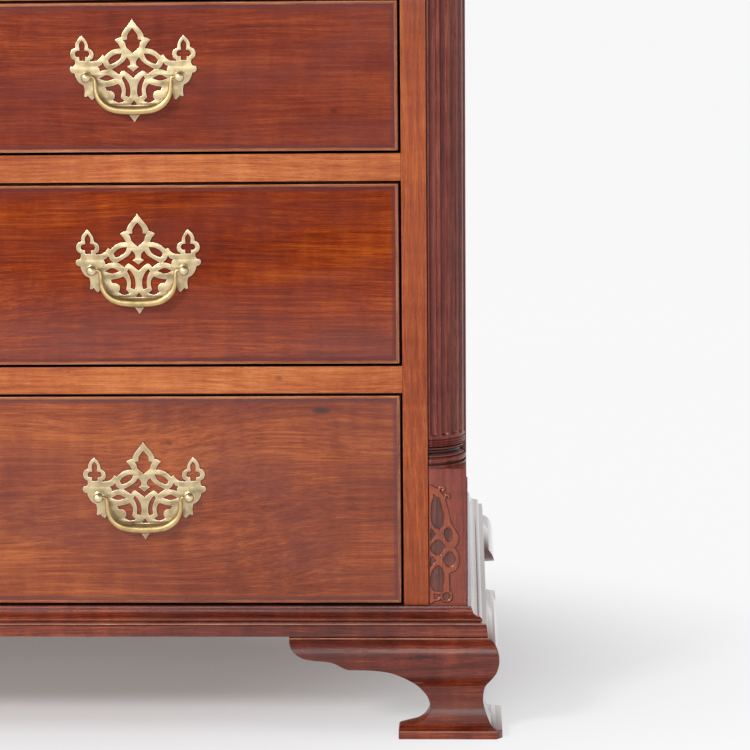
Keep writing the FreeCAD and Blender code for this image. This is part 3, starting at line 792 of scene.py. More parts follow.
# Mahogany under a rubbed shellac polish reads deep orange-brown, streaked along the grain.
BLADE_MAHOGANY = Wood(
    "mahogany_blade", "903E1C", "B46030", "D08048", "4E1E10", Grain.ACROSS, seed=9, sheen=0.3,
    pore_share=0.55, pore_width=1.0, pore_length=7,
)
STILE_MAHOGANY = Wood(
    "mahogany_stile", "7C3014", "A04A20", "BE6830", "4A1A10", Grain.UP, seed=17, sheen=0.34,
    pore_share=0.55, pore_width=1.0, pore_length=7,
)
SIDE_MAHOGANY = Wood(
    "mahogany_side", "5C2212", "80341A", "9C4E28", "45170F", Grain.UP, seed=23, streak_width=9,
    cool="70342A",
)
TOP_MAHOGANY = replace(SIDE_MAHOGANY, name="mahogany_top", grain=Grain.ACROSS, seed=31)
# Turned and carved parts have taken more polish; their hollows are painted near black, as painted
# shade with some dirt.
COLUMN_MAHOGANY = Wood(
    "mahogany_column", "521E18", "763228", "985442", "240B0A", Grain.UP, seed=41, gloss=0.26,
    sheen=0.4,
)
FLUTE_MAHOGANY = Wood(
    "mahogany_flute", "562622", "783A30", "905246", "240B0A", Grain.UP, seed=42, sheen=0.3
)
# Near black in the hollows: painted shade, with some dirt.
HOLLOW_SHADE_AND_DIRT = Wood(
    "mahogany_hollow_shade_and_dirt", "200C0A", "3A1812", "54261A", "140807", Grain.UP, seed=43, gloss=0.3
)
PLINTH_MAHOGANY = Wood("mahogany_plinth", "5A241C", "7E3628", "9A4A34", "3A1410", Grain.UP, seed=47)
GROUND_MAHOGANY = Wood(
    "mahogany_fret_ground", "48221C", "743E34", "945C4E", "2C1410", Grain.UP, seed=48, gloss=0.4
)
STRAP_MAHOGANY = Wood(
    "mahogany_fret_strap", "6E2C1A", "944226", "B05C34", "4C1C10", Grain.UP, seed=49, cool="6E3A34",
    gloss=0.2,
)
BASE_MAHOGANY = Wood(
    "mahogany_base", "380D08", "6E2816", "A24A2A", "300D0A", Grain.ACROSS, seed=53, gloss=0.24,
    cool="54241A", mottle=0.16, sheen=0.44,
)
# A clear polish over the base's sides whitens them at a glancing angle.
BASE_SIDE_MAHOGANY = Wood(
    "mahogany_base_side", "5A2418", "7A3424", "965038", "300D0A", Grain.DEEP, seed=59, gloss=0.12,
    relief=0.02, sheen=0.8, coat=1.0,
)
# The cock beads, lengthwise and upright, with a painted highlight along their outer arrises.
BEAD_MAHOGANY = Wood(
    "mahogany_bead", "743824", "985638", "B87650", "4A1C12", Grain.ACROSS, seed=61, sheen=0.3
)
BEAD_END_MAHOGANY = Wood(
    "mahogany_bead_end", "6A3428", "90523A", "B07258", "3E1812", Grain.UP, seed=67, sheen=0.3
)
# A painted highlight along the outer arris of each bead.
BEAD_HIGHLIGHT = Wood(
    "mahogany_bead_highlight", "A05C3C", "C07E5A", "DCA480", "6A3220", Grain.ACROSS, seed=69,
    sheen=0.4
)
# Tulip poplar left from the plane inside: dry, pale and a little dirty.
POPLAR = Wood(
    "poplar_across", "8A6244", "AE8662", "C8A47E", "70503A", Grain.ACROSS, seed=71, gloss=0.62,
    sheen=0.25
)
# Where the bottom board shows in the gap below the lowest drawer it is near black: painted shade.
POPLAR_PAINTED_SHADE = Wood(
    "poplar_painted_shade", "1C100C", "2C1A14", "3C261C", "140A08", Grain.ACROSS, seed=73, gloss=0.7,
    sheen=0.1,
)
# Faces that meet in a narrow gap are painted near black: painted shade, with some dirt.
GAP_SHADE_AND_DIRT = Wood(
    "mahogany_gap_shade_and_dirt", "1E0C08", "2E140E", "401E16", "140806", Grain.ACROSS, seed=74, gloss=0.6,
    sheen=0.1,
)
# The thin arrises of the base carry a painted highlight, a pale band in their colour.
ARRIS_HIGHLIGHT = Wood(
    "mahogany_base_arris_highlight", "7A4434", "9C6450", "BC8A74", "4A2018", Grain.ACROSS, seed=76, sheen=0.5,
)
POPLAR_DEEP = replace(POPLAR, name="poplar_deep", grain=Grain.DEEP, seed=79)
PINE_UP = Wood(
    "pine_upright", "7E5530", "A67C4C", "BE9966", "6A4526", Grain.UP, seed=83, gloss=0.6, sheen=0.25
)
# Thin cast plates have gone pale and grey; handling keeps the bails brighter, and the plates' edges
# carry a painted highlight.
PLATE_BRASS = CastBrass("brass_plate", "CCBA92", "988462", 0.4, 0.42)
EDGE_HIGHLIGHT_BRASS = CastBrass("brass_plate_edge_highlight", "F2DEC6", "CCB294", 0.2, 0.36)
POST_BRASS = CastBrass("brass_post", "EAD6AC", "AE9872", 0.3, 0.36)
BAIL_BRASS = CastBrass("brass_bail", "CCB07C", "9A8256", 0.25, 0.35)


# ---------------------------------------------------------------- putting pieces in the frame

def lay(
    piece: bpy.types.Object, finish: Wood | CastBrass, body: str, slot: str, *nodes: str
) -> bpy.types.Object:
    """Dress a piece, hang it on its body and let it stand for CAD nodes.

    Args:
        piece: a new object, or a carried-over CAD node.
        finish: what it is made of.
        body: the body that it moves with.
        slot: the record's slot for its finish; not used.
        nodes: CAD nodes that it stands for.

    Returns:
        The piece.
    """
    piece.data.materials.clear()
    piece.data.materials.append(finish.build())
    if "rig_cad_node" not in piece:
        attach(piece, body)
    if nodes:
        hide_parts(*nodes)
    LOG.info("%s: %s, %d faces", piece.name, finish.name, len(piece.data.polygons))
    return piece


def pick_out(
    piece: bpy.types.Object, finish: Wood | CastBrass,
    chosen: Callable[[bpy.types.MeshPolygon], bool],
) -> None:
    """Give some faces of a piece a finish of their own.

    Args:
        piece: the piece, already in its main finish.
        finish: the other finish.
        chosen: says whether a face takes it.
    """
    piece.data.materials.append(finish.build())
    number = len(piece.data.materials) - 1
    for face in piece.data.polygons:
        if chosen(face):
            face.material_index = number


@dataclass(frozen=True)
class Carcase:
    """Planes of the case that the fine pieces are set against."""

    half: float
    front: float
    back: float
    foot_top: float
    plinth_top: float
    capital_foot: float
    column_edge: float

    @classmethod
    def from_frame(cls) -> "Carcase":
        """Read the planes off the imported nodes.

        Returns:
            The planes.
        """
        side, stile, column = Span.of("right_side"), Span.of("right_stile"), Span.of("right_column")
        plinth = Span.of("right_lower_plinth")
        return cls(
            half=side.right, front=stile.front, back=side.back, foot_top=side.low,
            plinth_top=plinth.high, capital_foot=column.high, column_edge=plinth.left,
        )


HANDS = {"right": 1, "left": -1}


@dataclass(frozen=True)
class Boards:
    """The plain boards of the case, eased at their arrises."""

    body: str = "case"
    # widths of the eased arris
    shown_arris: float = 0.5
    stile_arris: float = 0.9
    hidden_arris: float = 1.0

    def build(self) -> None:
        """Make and dress every flat board of the carcase."""
        shown = {
            "left_side": SIDE_MAHOGANY, "right_side": SIDE_MAHOGANY, "left_stile": STILE_MAHOGANY,
            "right_stile": STILE_MAHOGANY, "top_rail": BLADE_MAHOGANY,
            "drawer_blades": BLADE_MAHOGANY, "upper_plinths": PLINTH_MAHOGANY,
        }
        hidden = {
            "bottom_board": POPLAR, "back_boards": POPLAR, "drawer_runners": POPLAR_DEEP,
            "drawer_guides": POPLAR_DEEP, "glue_blocks": PINE_UP,
        }
        for node, finish in shown.items():
            ease = self.stile_arris if finish is STILE_MAHOGANY else self.shown_arris
            lay(eased(node, ease), finish, self.body, "case_mahogany", node)
        for node, finish in hidden.items():
            lay(eased(node, self.hidden_arris), finish, self.body, "secondary_wood", node)
        # The bottom board is painted near black on top and in front as painted shade, since it
        # shows in the gap below the lowest drawer.
        board = bpy.data.objects["bottom_board_eased"]
        pick_out(
            board, POPLAR_PAINTED_SHADE, lambda face: face.normal.y < -MOSTLY or face.normal.z > MOSTLY
        )
        # The tops and undersides of the blades and the rail, seen in the gaps, are painted near
        # black: painted shade, with some dirt.
        for node in ("drawer_blades", "top_rail"):
            pick_out(
                bpy.data.objects[f"{node}_eased"], GAP_SHADE_AND_DIRT,
                lambda face: abs(face.normal.z) > NEARLY
            )
        # The joint of each stile with the column is painted near black too: painted shade, with
        # some dirt.
        for side, hand in HANDS.items():
            pick_out(
                bpy.data.objects[f"{side}_stile_eased"], GAP_SHADE_AND_DIRT,
                lambda face, hand=hand: face.normal.y < -LEANING and face.normal.x * hand > LEANING,
            )


@dataclass(frozen=True)
class MitredMoulding:
    """A moulding run across the front and back along both sides, mitred at the corners.

    The profile holds (outward, up) points, its height counted from the foot of
    the moulding.
    """

    name: str
    profile: tuple[Run, ...]
    foot: float
    case: Carcase

    def section(self) -> list[Flat]:
        """Draw the section with its back against the case.

        Returns:
            A closed outline of (outward, up) points.
        """
        face = joined(self.profile)
        return [(0.0, face[0][1]), *face, (0.0, face[-1][1])]

    def front(self) -> bpy.types.Object:
        """Build the front length.

        Returns:
            The length, not yet dressed.
        """
        rings = [
            [
                (hand * (self.case.half + out), self.case.front - out, self.foot + up)
                for out, up in self.section()
            ]
            for hand in (-1, 1)
        ]
        return make_mesh(f"{self.name}_front_run", *loft(rings))

    def sides(self) -> bpy.types.Object:
        """Build both side lengths, square at the back.

        Returns:
            Both lengths as one piece, not yet dressed.
        """
        parts = []
        for hand in HANDS.values():
            rings = [
                [
                    (hand * (self.case.half + out), end(out), self.foot + up)
                    for out, up in self.section()
                ]
                for end in (lambda out: self.case.front - out, lambda out: self.case.back)
            ]
            parts.append(loft(rings))
        return make_mesh(f"{self.name}_side_runs", *several(parts))


# heights above the foot of the base moulding between which its arris carries a painted highlight
BASE_HIGHLIGHT = (11.4, 12.6)
BASE_PROFILE = (
    ((20.9, 0), (20.5, 3), (19.8, 8)),
    ((19.8, 8), (19.7, 10.3)),
    ((19.7, 10.3), (17.4, 10.4)),
    ((17.4, 10.4), (17.4, 11.3)),
    ((17.4, 11.3), (19.3, 11.4)),
    ((19.3, 11.4), (19.2, 12.6)),
    ((19.2, 12.6), (12.6, 12.4)),
    ((12.6, 12.4), (14.4, 13.2), (15.2, 14.9), (14.6, 16.7), (13, 17.9), (11.2, 17.9)),
    ((11.2, 17.9), (9.6, 17.2)),
    ((9.6, 17.2), (10.4, 17.9), (8.8, 18.5), (7.3, 19.4), (6.3, 20.8), (5.6, 22.7), (4.8, 24.5)),
    ((4.8, 24.5), (4.4, 26)),
)
TOP_COVE_PROFILE = (
    ((0.6, 0), (2.4, 0.2), (2.5, 2.4)),
    ((2.5, 2.4), (3.4, 6.2), (6, 10), (10.2, 13)),
    ((10.2, 13), (12.6, 13.2)),
    ((12.6, 13.2), (13, 14.4), (13, 16)),
)


@dataclass(frozen=True)
class Top:
    """The top board, thumb-moulded along its front and ends."""

    case: Carcase

    # (in from the edge, share of the thickness) up the moulded edge
    edge: tuple[Run, ...] = (
        ((5, 0), (2, 0.03), (0.4, 0.14), (0, 0.3)),
        ((0, 0.3), (0.5, 0.5), (2.4, 0.68), (6, 0.82), (10.5, 0.88)),
        ((10.5, 0.88), (11.5, 0.98)),
        ((11.5, 0.98), (12.4, 1.0)),
    )

    def build(self) -> bpy.types.Object:
        """Build the board.

        Returns:
            The board, not yet dressed.
        """
        board = Span.of("top_board")
        rings = []
        for inset, share in joined(self.edge):
            height = board.low + share * (board.high - board.low)
            left, right, front = board.left + inset, board.right - inset, board.front + inset
            rings.append([
                (left, front, height), (right, front, height),
                (right, board.back, height), (left, board.back, height),
            ])
        return make_mesh("top_board_moulded", *loft(rings), crease=25)


@dataclass(frozen=True)
class BracketFoot:
    """An ogee bracket foot: a bellied facing, sawn out below its wing, on a flat pad."""

    case: Carcase
    height: float = 100.0
    # how much shorter the side facings are than the front ones
    side_cut: float = 18.0
    # how far a facing reaches in behind the planes of the case
    behind: float = 6.0
    # the toe is pared away behind: by how much, where it begins, and over what height
    toe_pared: float = 13.0
    toe_top: float = 25.0
    toe_slope: float = 15.0
    # the pad's corner is clipped up to this height, and every other corner only eased
    clip: float = 6.0
    clip_top: float = 8.05
    arris: float = 0.7
    # thickness of the plain back bracket
    bracket_thick: float = 20.0
    # heights between which the arrises of the pad and of the top carry a painted highlight
    painted_highlight: tuple[Flat, ...] = ((6.9, 8.02), (98, 98.95))

    # (outward, up) over pad, hollow and belly to the base moulding
    face: tuple[Run, ...] = (
        ((34.6, 0), (34.6, 6.9)),
        ((34.6, 6.9), (34.3, 7.7), (33.4, 8)),
        ((33.4, 8), (28.4, 8.1)),
        ((28.4, 8.1), (24.3, 10), (21, 16.1), (18.6, 21.8), (16.9, 27.7), (15.9, 35), (16.9, 44.2),
         (19, 49.9), (23, 55.4), (27.1, 61.7), (29.8, 67.5), (31.6, 76), (31.4, 83), (30.3, 88),
         (28.4, 92.6), (25.4, 96.4), (21.6, 98.9)),
        ((21.6, 98.9), (17.5, 99)),
        ((17.5, 99), (17.5, 100)),
    )
    # (in from the case's corner, up) along the sawn edge, from pad to wing tip
    sawn: tuple[Run, ...] = (
        ((67, 0), (67, 7.4)),
        ((67, 7.4), (66.2, 8.8), (63, 10), (55, 11.6), (48, 13.1), (43.2, 15.4), (40, 18),
         (37.4, 21.4), (36.2, 25.4), (36.6, 31), (38.8, 37), (42.6, 42.5), (50, 50.5), (60, 58),
         (70, 63.4), (80, 66.6), (95, 68.4), (117, 69)),
        ((117, 69), (120.5, 70.4), (125, 73), (130.5, 76), (138, 77.6), (150, 78.6)),
        ((150, 78.6), (160, 80.5), (168, 85.5), (172.6, 92), (174, 100)),
    )
    # (past its own inner end, up) down the sawn end of the plain back bracket
    bracket_end: tuple[Run, ...] = (
        ((0, 100), (0, 78)),
        ((0, 78), (24, 78)),
        ((24, 78), (44, 73), (62, 62), (70, 48)),
        ((70, 48), (72, 0)),
    )

    def facing(
        self, shortened: float, spot: Callable[[float, float, float], Spot], mitred: bool = True
    ) -> Skin:
        """Skin one facing.

        Args:
            shortened: how much nearer its corner the sawn edge comes.
            spot: turns (in from the corner, outward, up) into a place.
            mitred: False for a facing that ends square at the back.

        Returns:
            Corners and faces.
        """
        face, sawn = joined(self.face), joined(self.sawn)
        rings = []
        for up in sorted({round(point[1], 2) for point in face + sawn}):
            out = read_off(face, up)
            reach = read_off(sawn, up) - shortened
            clip = self.clip if up <= self.clip_top else self.arris
            if mitred:
                corner = [(-(out - clip / 2), out - clip / 2), (-(out - clip), out)]
                inner = (self.behind, -self.behind)
            else:
                corner = [(0, out - self.arris), (self.arris, out)]
                inner = (0, -self.behind)
            pared = self.toe_pared * held((self.toe_top - up) / self.toe_slope)
            edge = [
                (reach - self.arris, out), (reach, out - self.arris), (reach, pared - self.behind),
                inner
            ]
            rings.append([spot(along, outward, up) for along, outward in corner + edge])
        return loft(rings)

    def front_pair(self, side: str) -> None:
        """Build both facings of a front foot and stand them for its node.

        Args:
            side: right or left.
        """
        hand, case = HANDS[side], self.case
        across = self.facing(
            0, lambda along, out, up: (hand * (case.half - along), case.front - out, up)
        )
        deep = self.facing(
            self.side_cut, lambda along, out, up: (hand * (case.half + out), case.front + along, up)
        )
        node = f"front_{side}_foot"
        facing = lay(
            make_mesh(f"{node}_front_facing", *across), BASE_MAHOGANY, "case", "base_mahogany", node
        )
        # A painted highlight runs along the arrises of the pad and of the top.
        pick_out(
            facing, ARRIS_HIGHLIGHT,
            lambda face: any(low < face.center.z / MM < high for low, high in self.painted_highlight)
        )
        lay(
            make_mesh(f"{node}_side_facing", *deep), BASE_SIDE_MAHOGANY, "case", "base_mahogany",
            node
        )

    def rear(self, side: str) -> None:
        """Build a rear foot: a moulded side facing and a plain back bracket, sawn from a board.

        Args:
            side: right or left.
        """
        hand, case = HANDS[side], self.case
        deep = self.facing(
            self.side_cut, lambda along, out, up: (hand * (case.half + out), case.back - along, up),
            mitred=False
        )
        node = f"rear_{side}_foot"
        lay(
            make_mesh(f"{node}_side_facing", *deep), BASE_SIDE_MAHOGANY, "case", "base_mahogany",
            node
        )
        plate = Span.of(node)
        corner, tip = case.half - self.behind, abs(plate.left if hand > 0 else plate.right)
        edge = [(corner, 0), (corner, self.height)]
        edge += [(tip + past, up) for past, up in joined(self.bracket_end)]
        rings = [
            [(hand * across, depth, up) for across, up in edge]
            for depth in (case.back - self.bracket_thick, case.back)
        ]
        lay(make_mesh(f"{node}_back_bracket", *loft(rings)), POPLAR, "case", "base_mahogany", node)


@dataclass(frozen=True)
class QuarterColumn:
    """A turned and fluted quarter column standing in the corner of the case."""

    case: Carcase
    flutes: int = 5
    flute_radius: float = 3.9
    shaft_radius: float = 35.4
    # share of a half round to which a flute is sunk
    sunk_share: float = 0.85
    # facets across a flute, and steps in its rounded end
    cuts: int = 10
    end_steps: int = 6
    # plain neck between the turned base and the flutes
    neck: float = 2.6
    # the quarter stops this far short of its sawn sides, in radians
    shy: float = 0.004
    # faces between these distances from the axis lie in a hollow; nearer ones are its sawn sides
    axis_clear: float = 25.0
    hollow: float = 33.3

    # (radius, height above the plinth) of the turned base; the capital mirrors it
    turning: tuple[Run, ...] = (
        ((36.4, 0), (36.4, 2.8)),
        ((36.4, 2.8), (33, 3.1)),
        ((33, 3.1), (33, 4.1)),
        ((33, 4.1), (35.6, 4.7), (36.5, 6.9), (36.2, 8.9), (34.6, 9.9)),
        ((34.6, 9.9), (33.1, 10.3), (33, 10.9)),
        ((33, 10.9), (34.4, 11.1)),
        ((34.4, 11.1), (34.4, 12.4)),
        ((34.4, 12.4), (33, 12.6), (32.9, 13.5)),
        ((32.9, 13.5), (31.4, 15), (31.2, 16.6), (32.9, 18.1)),
        ((32.9, 18.1), (34.2, 18.6)),
        ((34.2, 18.6), (34.2, 19.7)),
        ((34.2, 19.7), (31.8, 19.9), (31.8, 20.9)),
        ((31.8, 20.9), (34.6, 21.2)),
        ((34.6, 21.2), (35.7, 22.2), (34.8, 23.2)),
        ((34.8, 23.2), (36, 24.4), (35, 25.5)),
        ((35, 25.5), (36, 26.6), (34.4, 27.8)),
        ((34.4, 27.8), (35.4, 28.9)),
    )

    def bearings(self) -> list[float]:
        """List the angles round the quarter, closer together in the flutes.

        Returns:
            Angles in radians, from the front to the side.
        """
        pitch = math.pi / 2 / self.flutes
        reach = math.asin(self.flute_radius / self.shaft_radius)
        angles = [self.shy]
        for number in range(self.flutes):
            middle = (number + 0.5) * pitch
            angles += [
                middle - reach * math.cos(math.pi * cut / self.cuts) for cut in range(self.cuts + 1)
            ]
        return [*angles, math.pi / 2 - self.shy]

    def depth(self, angle: float, past: float) -> float:
        """Depth of fluting at an angle, in a flute whose end is rounded.

        Args:
            angle: bearing round the quarter.
            past: distance beyond the centre of the flute's rounded end.

        Returns:
            Depth below the shaft's surface.
        """
        pitch = math.pi / 2 / self.flutes
        aside = (angle % pitch - pitch / 2) * self.shaft_radius
        cut = self.flute_radius**2 - aside**2 - max(past, 0) ** 2
        return math.sqrt(max(cut, 0)) * self.sunk_share

    def build(self, side: str) -> None:
        """Build the column of one side and stand it for its node.

        Args:
            side: right or left.
        """
        hand, case = HANDS[side], self.case
        node = f"{side}_column"
        low, high = case.plinth_top, case.capital_foot
        centre = case.front + (case.half - case.column_edge)
        base = [(radius, low + up) for radius, up in joined(self.turning)]
        stop = base[-1][1] + self.neck + self.flute_radius
        ends = [
            self.flute_radius * math.cos(math.pi / 2 * cut / self.end_steps)
            for cut in range(self.end_steps + 1)
        ]
        lower = [(self.shaft_radius, stop - past, past) for past in ends]
        levels = [(radius, height, self.flute_radius) for radius, height in base] + lower
        levels += [(radius, low + high - height, past) for radius, height, past in reversed(levels)]
        rings = []
        for radius, height, past in levels:
            ring = []
            for angle in self.bearings():
                distance = radius - self.depth(angle, past)
                ring.append((
                    hand * (case.column_edge + distance * math.sin(angle)),
                    centre - distance * math.cos(angle), height
                ))
            rings.append([*ring, (hand * case.column_edge, centre, height)])
        piece = make_mesh(f"{node}_turned", *loft(rings), crease=40)
        lay(piece, COLUMN_MAHOGANY, "case", "case_mahogany", node)
        axis = Vector((hand * case.column_edge, centre, 0))
        shaft = (stop - self.flute_radius, low + high - stop + self.flute_radius)

        def sunk(face: bpy.types.MeshPolygon) -> bool:
            """Whether a face lies in a hollow."""
            return self.axis_clear < (face.center / MM - axis).to_2d().length < self.hollow

        # The hollows of the turning are painted near black, as painted shade with some dirt; the
        # flutes then take their own finish.
        pick_out(piece, HOLLOW_SHADE_AND_DIRT, sunk)
        pick_out(
            piece, FLUTE_MAHOGANY,
            lambda face: sunk(face) and shaft[0] < face.center.z / MM < shaft[1]
        )


class Carved(IntEnum):
    """Parts of a carved face, as the numbers of their finishes."""

    FACE = 0
    STRAP = 1
    GROUND = 2
    # the groove beside a strap: near black, as painted shade with some dirt
    GROOVE_SHADE = 3


# place on the grid to height, how far inside a strand and how far inside a sunk opening
Carving = dict[tuple[int, int], tuple[float, float, float]]


@dataclass(frozen=True)
class FretPlinth:
    """The block below a column, its two faces carved with an interlaced fret.

    The strands hold (in from the corner, up) points on the face.
    """

    case: Carcase
    # how proud the straps stand, and the width of their sloping sides
    rise: float = 1.2
    wall: float = 0.6
    # width of the painted shade and dirt beside a strap
    groove_shade: float = 0.7
    # size of a square of the carved face
    grid: float = 0.55
    # a strand is looked for within this reach, and one beyond it counts as this far off
    reach: float = 7.0
    far_off: float = 9.0

    # half width of each strand and its middle line
    strands: tuple[tuple[float, Run], ...] = (
        (3.2, ((35.1, 131), (35.1, 244))),
        (3.2, ((35.1, 243.6), (31, 241.6), (26, 236.4), (22.6, 228.5), (20.4, 219.5), (18.8, 211.5),
               (19.8, 204.3), (25.2, 197.5), (30.6, 190.6), (35.4, 184.5))),
        (3.0, ((18.8, 211.5), (15.4, 204.2), (12.2, 198.6), (10.2, 194), (11.6, 189.6),
               (15.9, 184.3))),
        (3.2, ((35.4, 205.5), (31, 203), (25.2, 197.5), (20.2, 190.4), (15.9, 184.3), (11.6, 178.8),
               (10.1, 171.6), (11.4, 165.6), (15.4, 162.4), (19, 160.8))),
        (3.2, ((35.4, 181.4), (30.4, 176.4), (25.4, 171.2), (21.6, 165), (20.3, 157), (20.2, 147),
               (19.6, 141))),
        (3.2, ((15.9, 184.3), (21, 178), (25.4, 171.2), (31, 163.6), (34.8, 156))),
        (5.9, ((19.6, 135.3), (19.6, 134.9))),
        (1.6, ((34.8, 141.6), (30, 138.8), (24, 138.4))),
        (1.1, ((35, 132.4), (30.4, 131.4), (26.6, 132.4), (24.6, 135.2))),
        (1.1, ((26.4, 239.6), (26, 243.8), (23.2, 245.2), (21.4, 243), (23.2, 241.4))),
        (1.1, ((21.6, 232.6), (20, 236.6), (17.4, 237), (16.8, 234.6))),
    )
    # outlines of the sunk openings between the strands
    sunk: tuple[Run, ...] = (
        ((33.4, 231.5), (31.5, 234.5), (28.9, 235.4), (26.3, 234.2), (25, 230.8), (23.9, 225.5),
         (21.9, 218.8), (21.6, 213.5), (23, 209), (25, 204.8), (28, 203.2), (31.5, 205.6),
         (33.6, 209.8), (34.8, 217.3), (34.4, 224.8)),
        ((34.9, 203.6), (33.4, 202.8), (31.5, 200), (30.5, 197.2), (32, 194), (34.8, 191.6)),
        ((21.5, 202.2), (17.7, 204.9), (14.4, 201.5), (13.5, 197.4), (15, 193.3), (17.6, 190.3),
         (20.6, 194), (21.9, 197.8)),
        ((35.2, 185.8), (31.5, 190.3), (27.4, 192.7), (24.1, 188.8), (21.6, 184.3), (23.4, 180.2),
         (26.1, 177.2), (28.8, 176.6), (32.3, 179), (34.9, 182)),
        ((23.2, 172.3), (20.3, 177.4), (16.8, 180.6), (13.3, 178.9), (10.9, 174.5), (10.9, 170.4),
         (12.8, 166.7), (16.5, 164.6), (20.3, 166.8)),
        ((35.3, 174.5), (33.4, 175.4), (31.6, 173.4), (30.9, 170.4), (32.7, 167.4), (35.3, 164.6)),
        ((35.4, 153.5), (33.8, 160.3), (30.8, 164.4), (27.4, 166.6), (24.4, 164), (22.4, 159.5),
         (21.5, 154.3), (22, 148.3), (24.1, 143.2), (27.1, 140.4), (31.5, 140.6), (34.3, 144),
         (35.4, 149)),
        ((23.6, 135.1), (22.4, 138), (19.6, 139.2), (16.8, 138), (15.6, 135.1), (16.8, 132.2),
         (19.6, 131), (22.4, 132.2)),
    )

    def relief(self) -> Carving:
        """Work out the carving over one face.

        Returns:
            Height of each place, how far inside a strand it is, and how far
            inside a sunk opening; both are below 0 outside.
        """
        lines = [(half, smoothed(strand, 3)) for half, strand in self.strands]
        openings = [smoothed([*outline, outline[0]], 3) for outline in self.sunk]
        wide, tall = self.size()
        heights = {}
        for column in range(wide + 1):
            for row in range(tall + 1):
                across, up = column * self.grid_across(), self.case.foot_top + row * self.grid_up()
                strand = max(half - self._from_line(across, up, line) for half, line in lines)
                inside = max(self._inside(across, up, outline) for outline in openings)
                land = min(strand, -inside)
                share = held(land / self.wall + 0.5)
                edge = column in (0, wide) or row in (0, tall)
                heights[column, row] = (
                    0 if edge else self.rise * share * share * (3 - 2 * share), land, inside
                )
        return heights

    def _inside(self, across: float, up: float, outline: Sequence[Flat]) -> float:
        """Measure how far a point lies inside an outline.

        Args:
            across: place of the point.
            up: its height.
            outline: closed, its last point the same as its first.

        Returns:
            The distance to the outline, below 0 outside it.
        """
        inside = False
        for (x0, z0), (x1, z1) in zip(outline, outline[1:]):
            if (z0 > up) != (z1 > up) and across < x0 + (x1 - x0) * (up - z0) / (z1 - z0):
                inside = not inside
        gap = self._from_line(across, up, outline)
        return gap if inside else -gap

    def size(self) -> tuple[int, int]:
        """Count the grid's squares across and up a face."""
        wide = self.case.half - self.case.column_edge
        tall = self.case.plinth_top - self.case.foot_top
        return round(wide / self.grid), round(tall / self.grid)

    def grid_across(self) -> float:
        """Width of a grid square."""
        return (self.case.half - self.case.column_edge) / self.size()[0]

    def grid_up(self) -> float:
        """Height of a grid square."""
        return (self.case.plinth_top - self.case.foot_top) / self.size()[1]

    def _from_line(self, across: float, up: float, line: Sequence[Flat]) -> float:
        """Measure how far a point lies from a line.

        Args:
            across: place of the point.
            up: its height.
            line: points along the line.

        Returns:
            The distance, or far_off where the line is out of reach.
        """
        reach, nearest = self.reach, self.far_off
        for (x0, z0), (x1, z1) in zip(line, line[1:]):
            near = min(x0, x1) - reach < across < max(x0, x1) + reach
            if near and min(z0, z1) - reach < up < max(z0, z1) + reach:
                run, rise = x1 - x0, z1 - z0
                share = held(((across - x0) * run + (up - z0) * rise) / (run * run + rise * rise))
                nearest = min(
                    nearest, math.hypot(across - x0 - share * run, up - z0 - share * rise)
                )
        return nearest

    def build(self, side: str, carving: Carving) -> None:
        """Build one plinth with both faces carved and stand it for its node.

        Args:
            side: right or left.
            carving: what relief() worked out.
        """
        hand, case = HANDS[side], self.case
        wide, tall = self.size()
        spots: list[Spot] = []
        faces: list[list[int]] = []
        rows: dict[str, list[list[int]]] = {}
        for face in ("front", "side"):
            grid = []
            for row in range(tall + 1):
                line = []
                for column in range(wide + 1):
                    inward, proud = column * self.grid_across(), carving[column, row][0]
                    up = case.foot_top + row * self.grid_up()
                    line.append(len(spots))
                    spots.append(
                        (hand * (case.half - inward), case.front - proud, up) if face == "front"
                        else (hand * (case.half + proud), case.front + inward, up)
                    )
                grid.append(line)
            for lower, upper in zip(grid, grid[1:]):
                faces += [
                    [lower[step], lower[step + 1], upper[step + 1], upper[step]]
                    for step in range(wide)
                ]
            rows[face] = grid
        inner = case.front + case.half - case.column_edge
        back = []
        for up in (case.foot_top, case.plinth_top):
            back.append(len(spots))
            spots.append((hand * case.column_edge, inner, up))
        for end, corner in ((0, back[0]), (-1, back[1])):
            faces.append([*rows["front"][end][::-1], *rows["side"][end][1:], corner])
        for face in ("front", "side"):
            faces.append([*(line[-1] for line in rows[face]), back[1], back[0]])
        node = f"{side}_lower_plinth"
        piece = make_mesh(f"{node}_carved", spots, faces, crease=50)
        lay(piece, PLINTH_MAHOGANY, "case", "case_mahogany", node)
        for finish in (STRAP_MAHOGANY, GROUND_MAHOGANY, HOLLOW_SHADE_AND_DIRT):
            piece.data.materials.append(finish.build())
        for face, choice in zip(piece.data.polygons, self._face_finishes(carving) * 2):
            face.material_index = choice

    def _face_finishes(self, carving: Carving) -> list[Carved]:
        """Say what each grid square is, in the order that its faces are made.

        Args:
            carving: what relief() worked out.

        Returns:
            The part that each square belongs to.
        """
        wide, tall = self.size()
        choices = []
        for row in range(tall):
            for column in range(wide):
                land, inside = carving[column, row][1:]
                if land > 0:
                    choices.append(Carved.STRAP)
                elif land > -self.groove_shade:
                    choices.append(Carved.GROOVE_SHADE)
                else:
                    choices.append(Carved.GROUND if inside > 0 else Carved.FACE)
        return choices


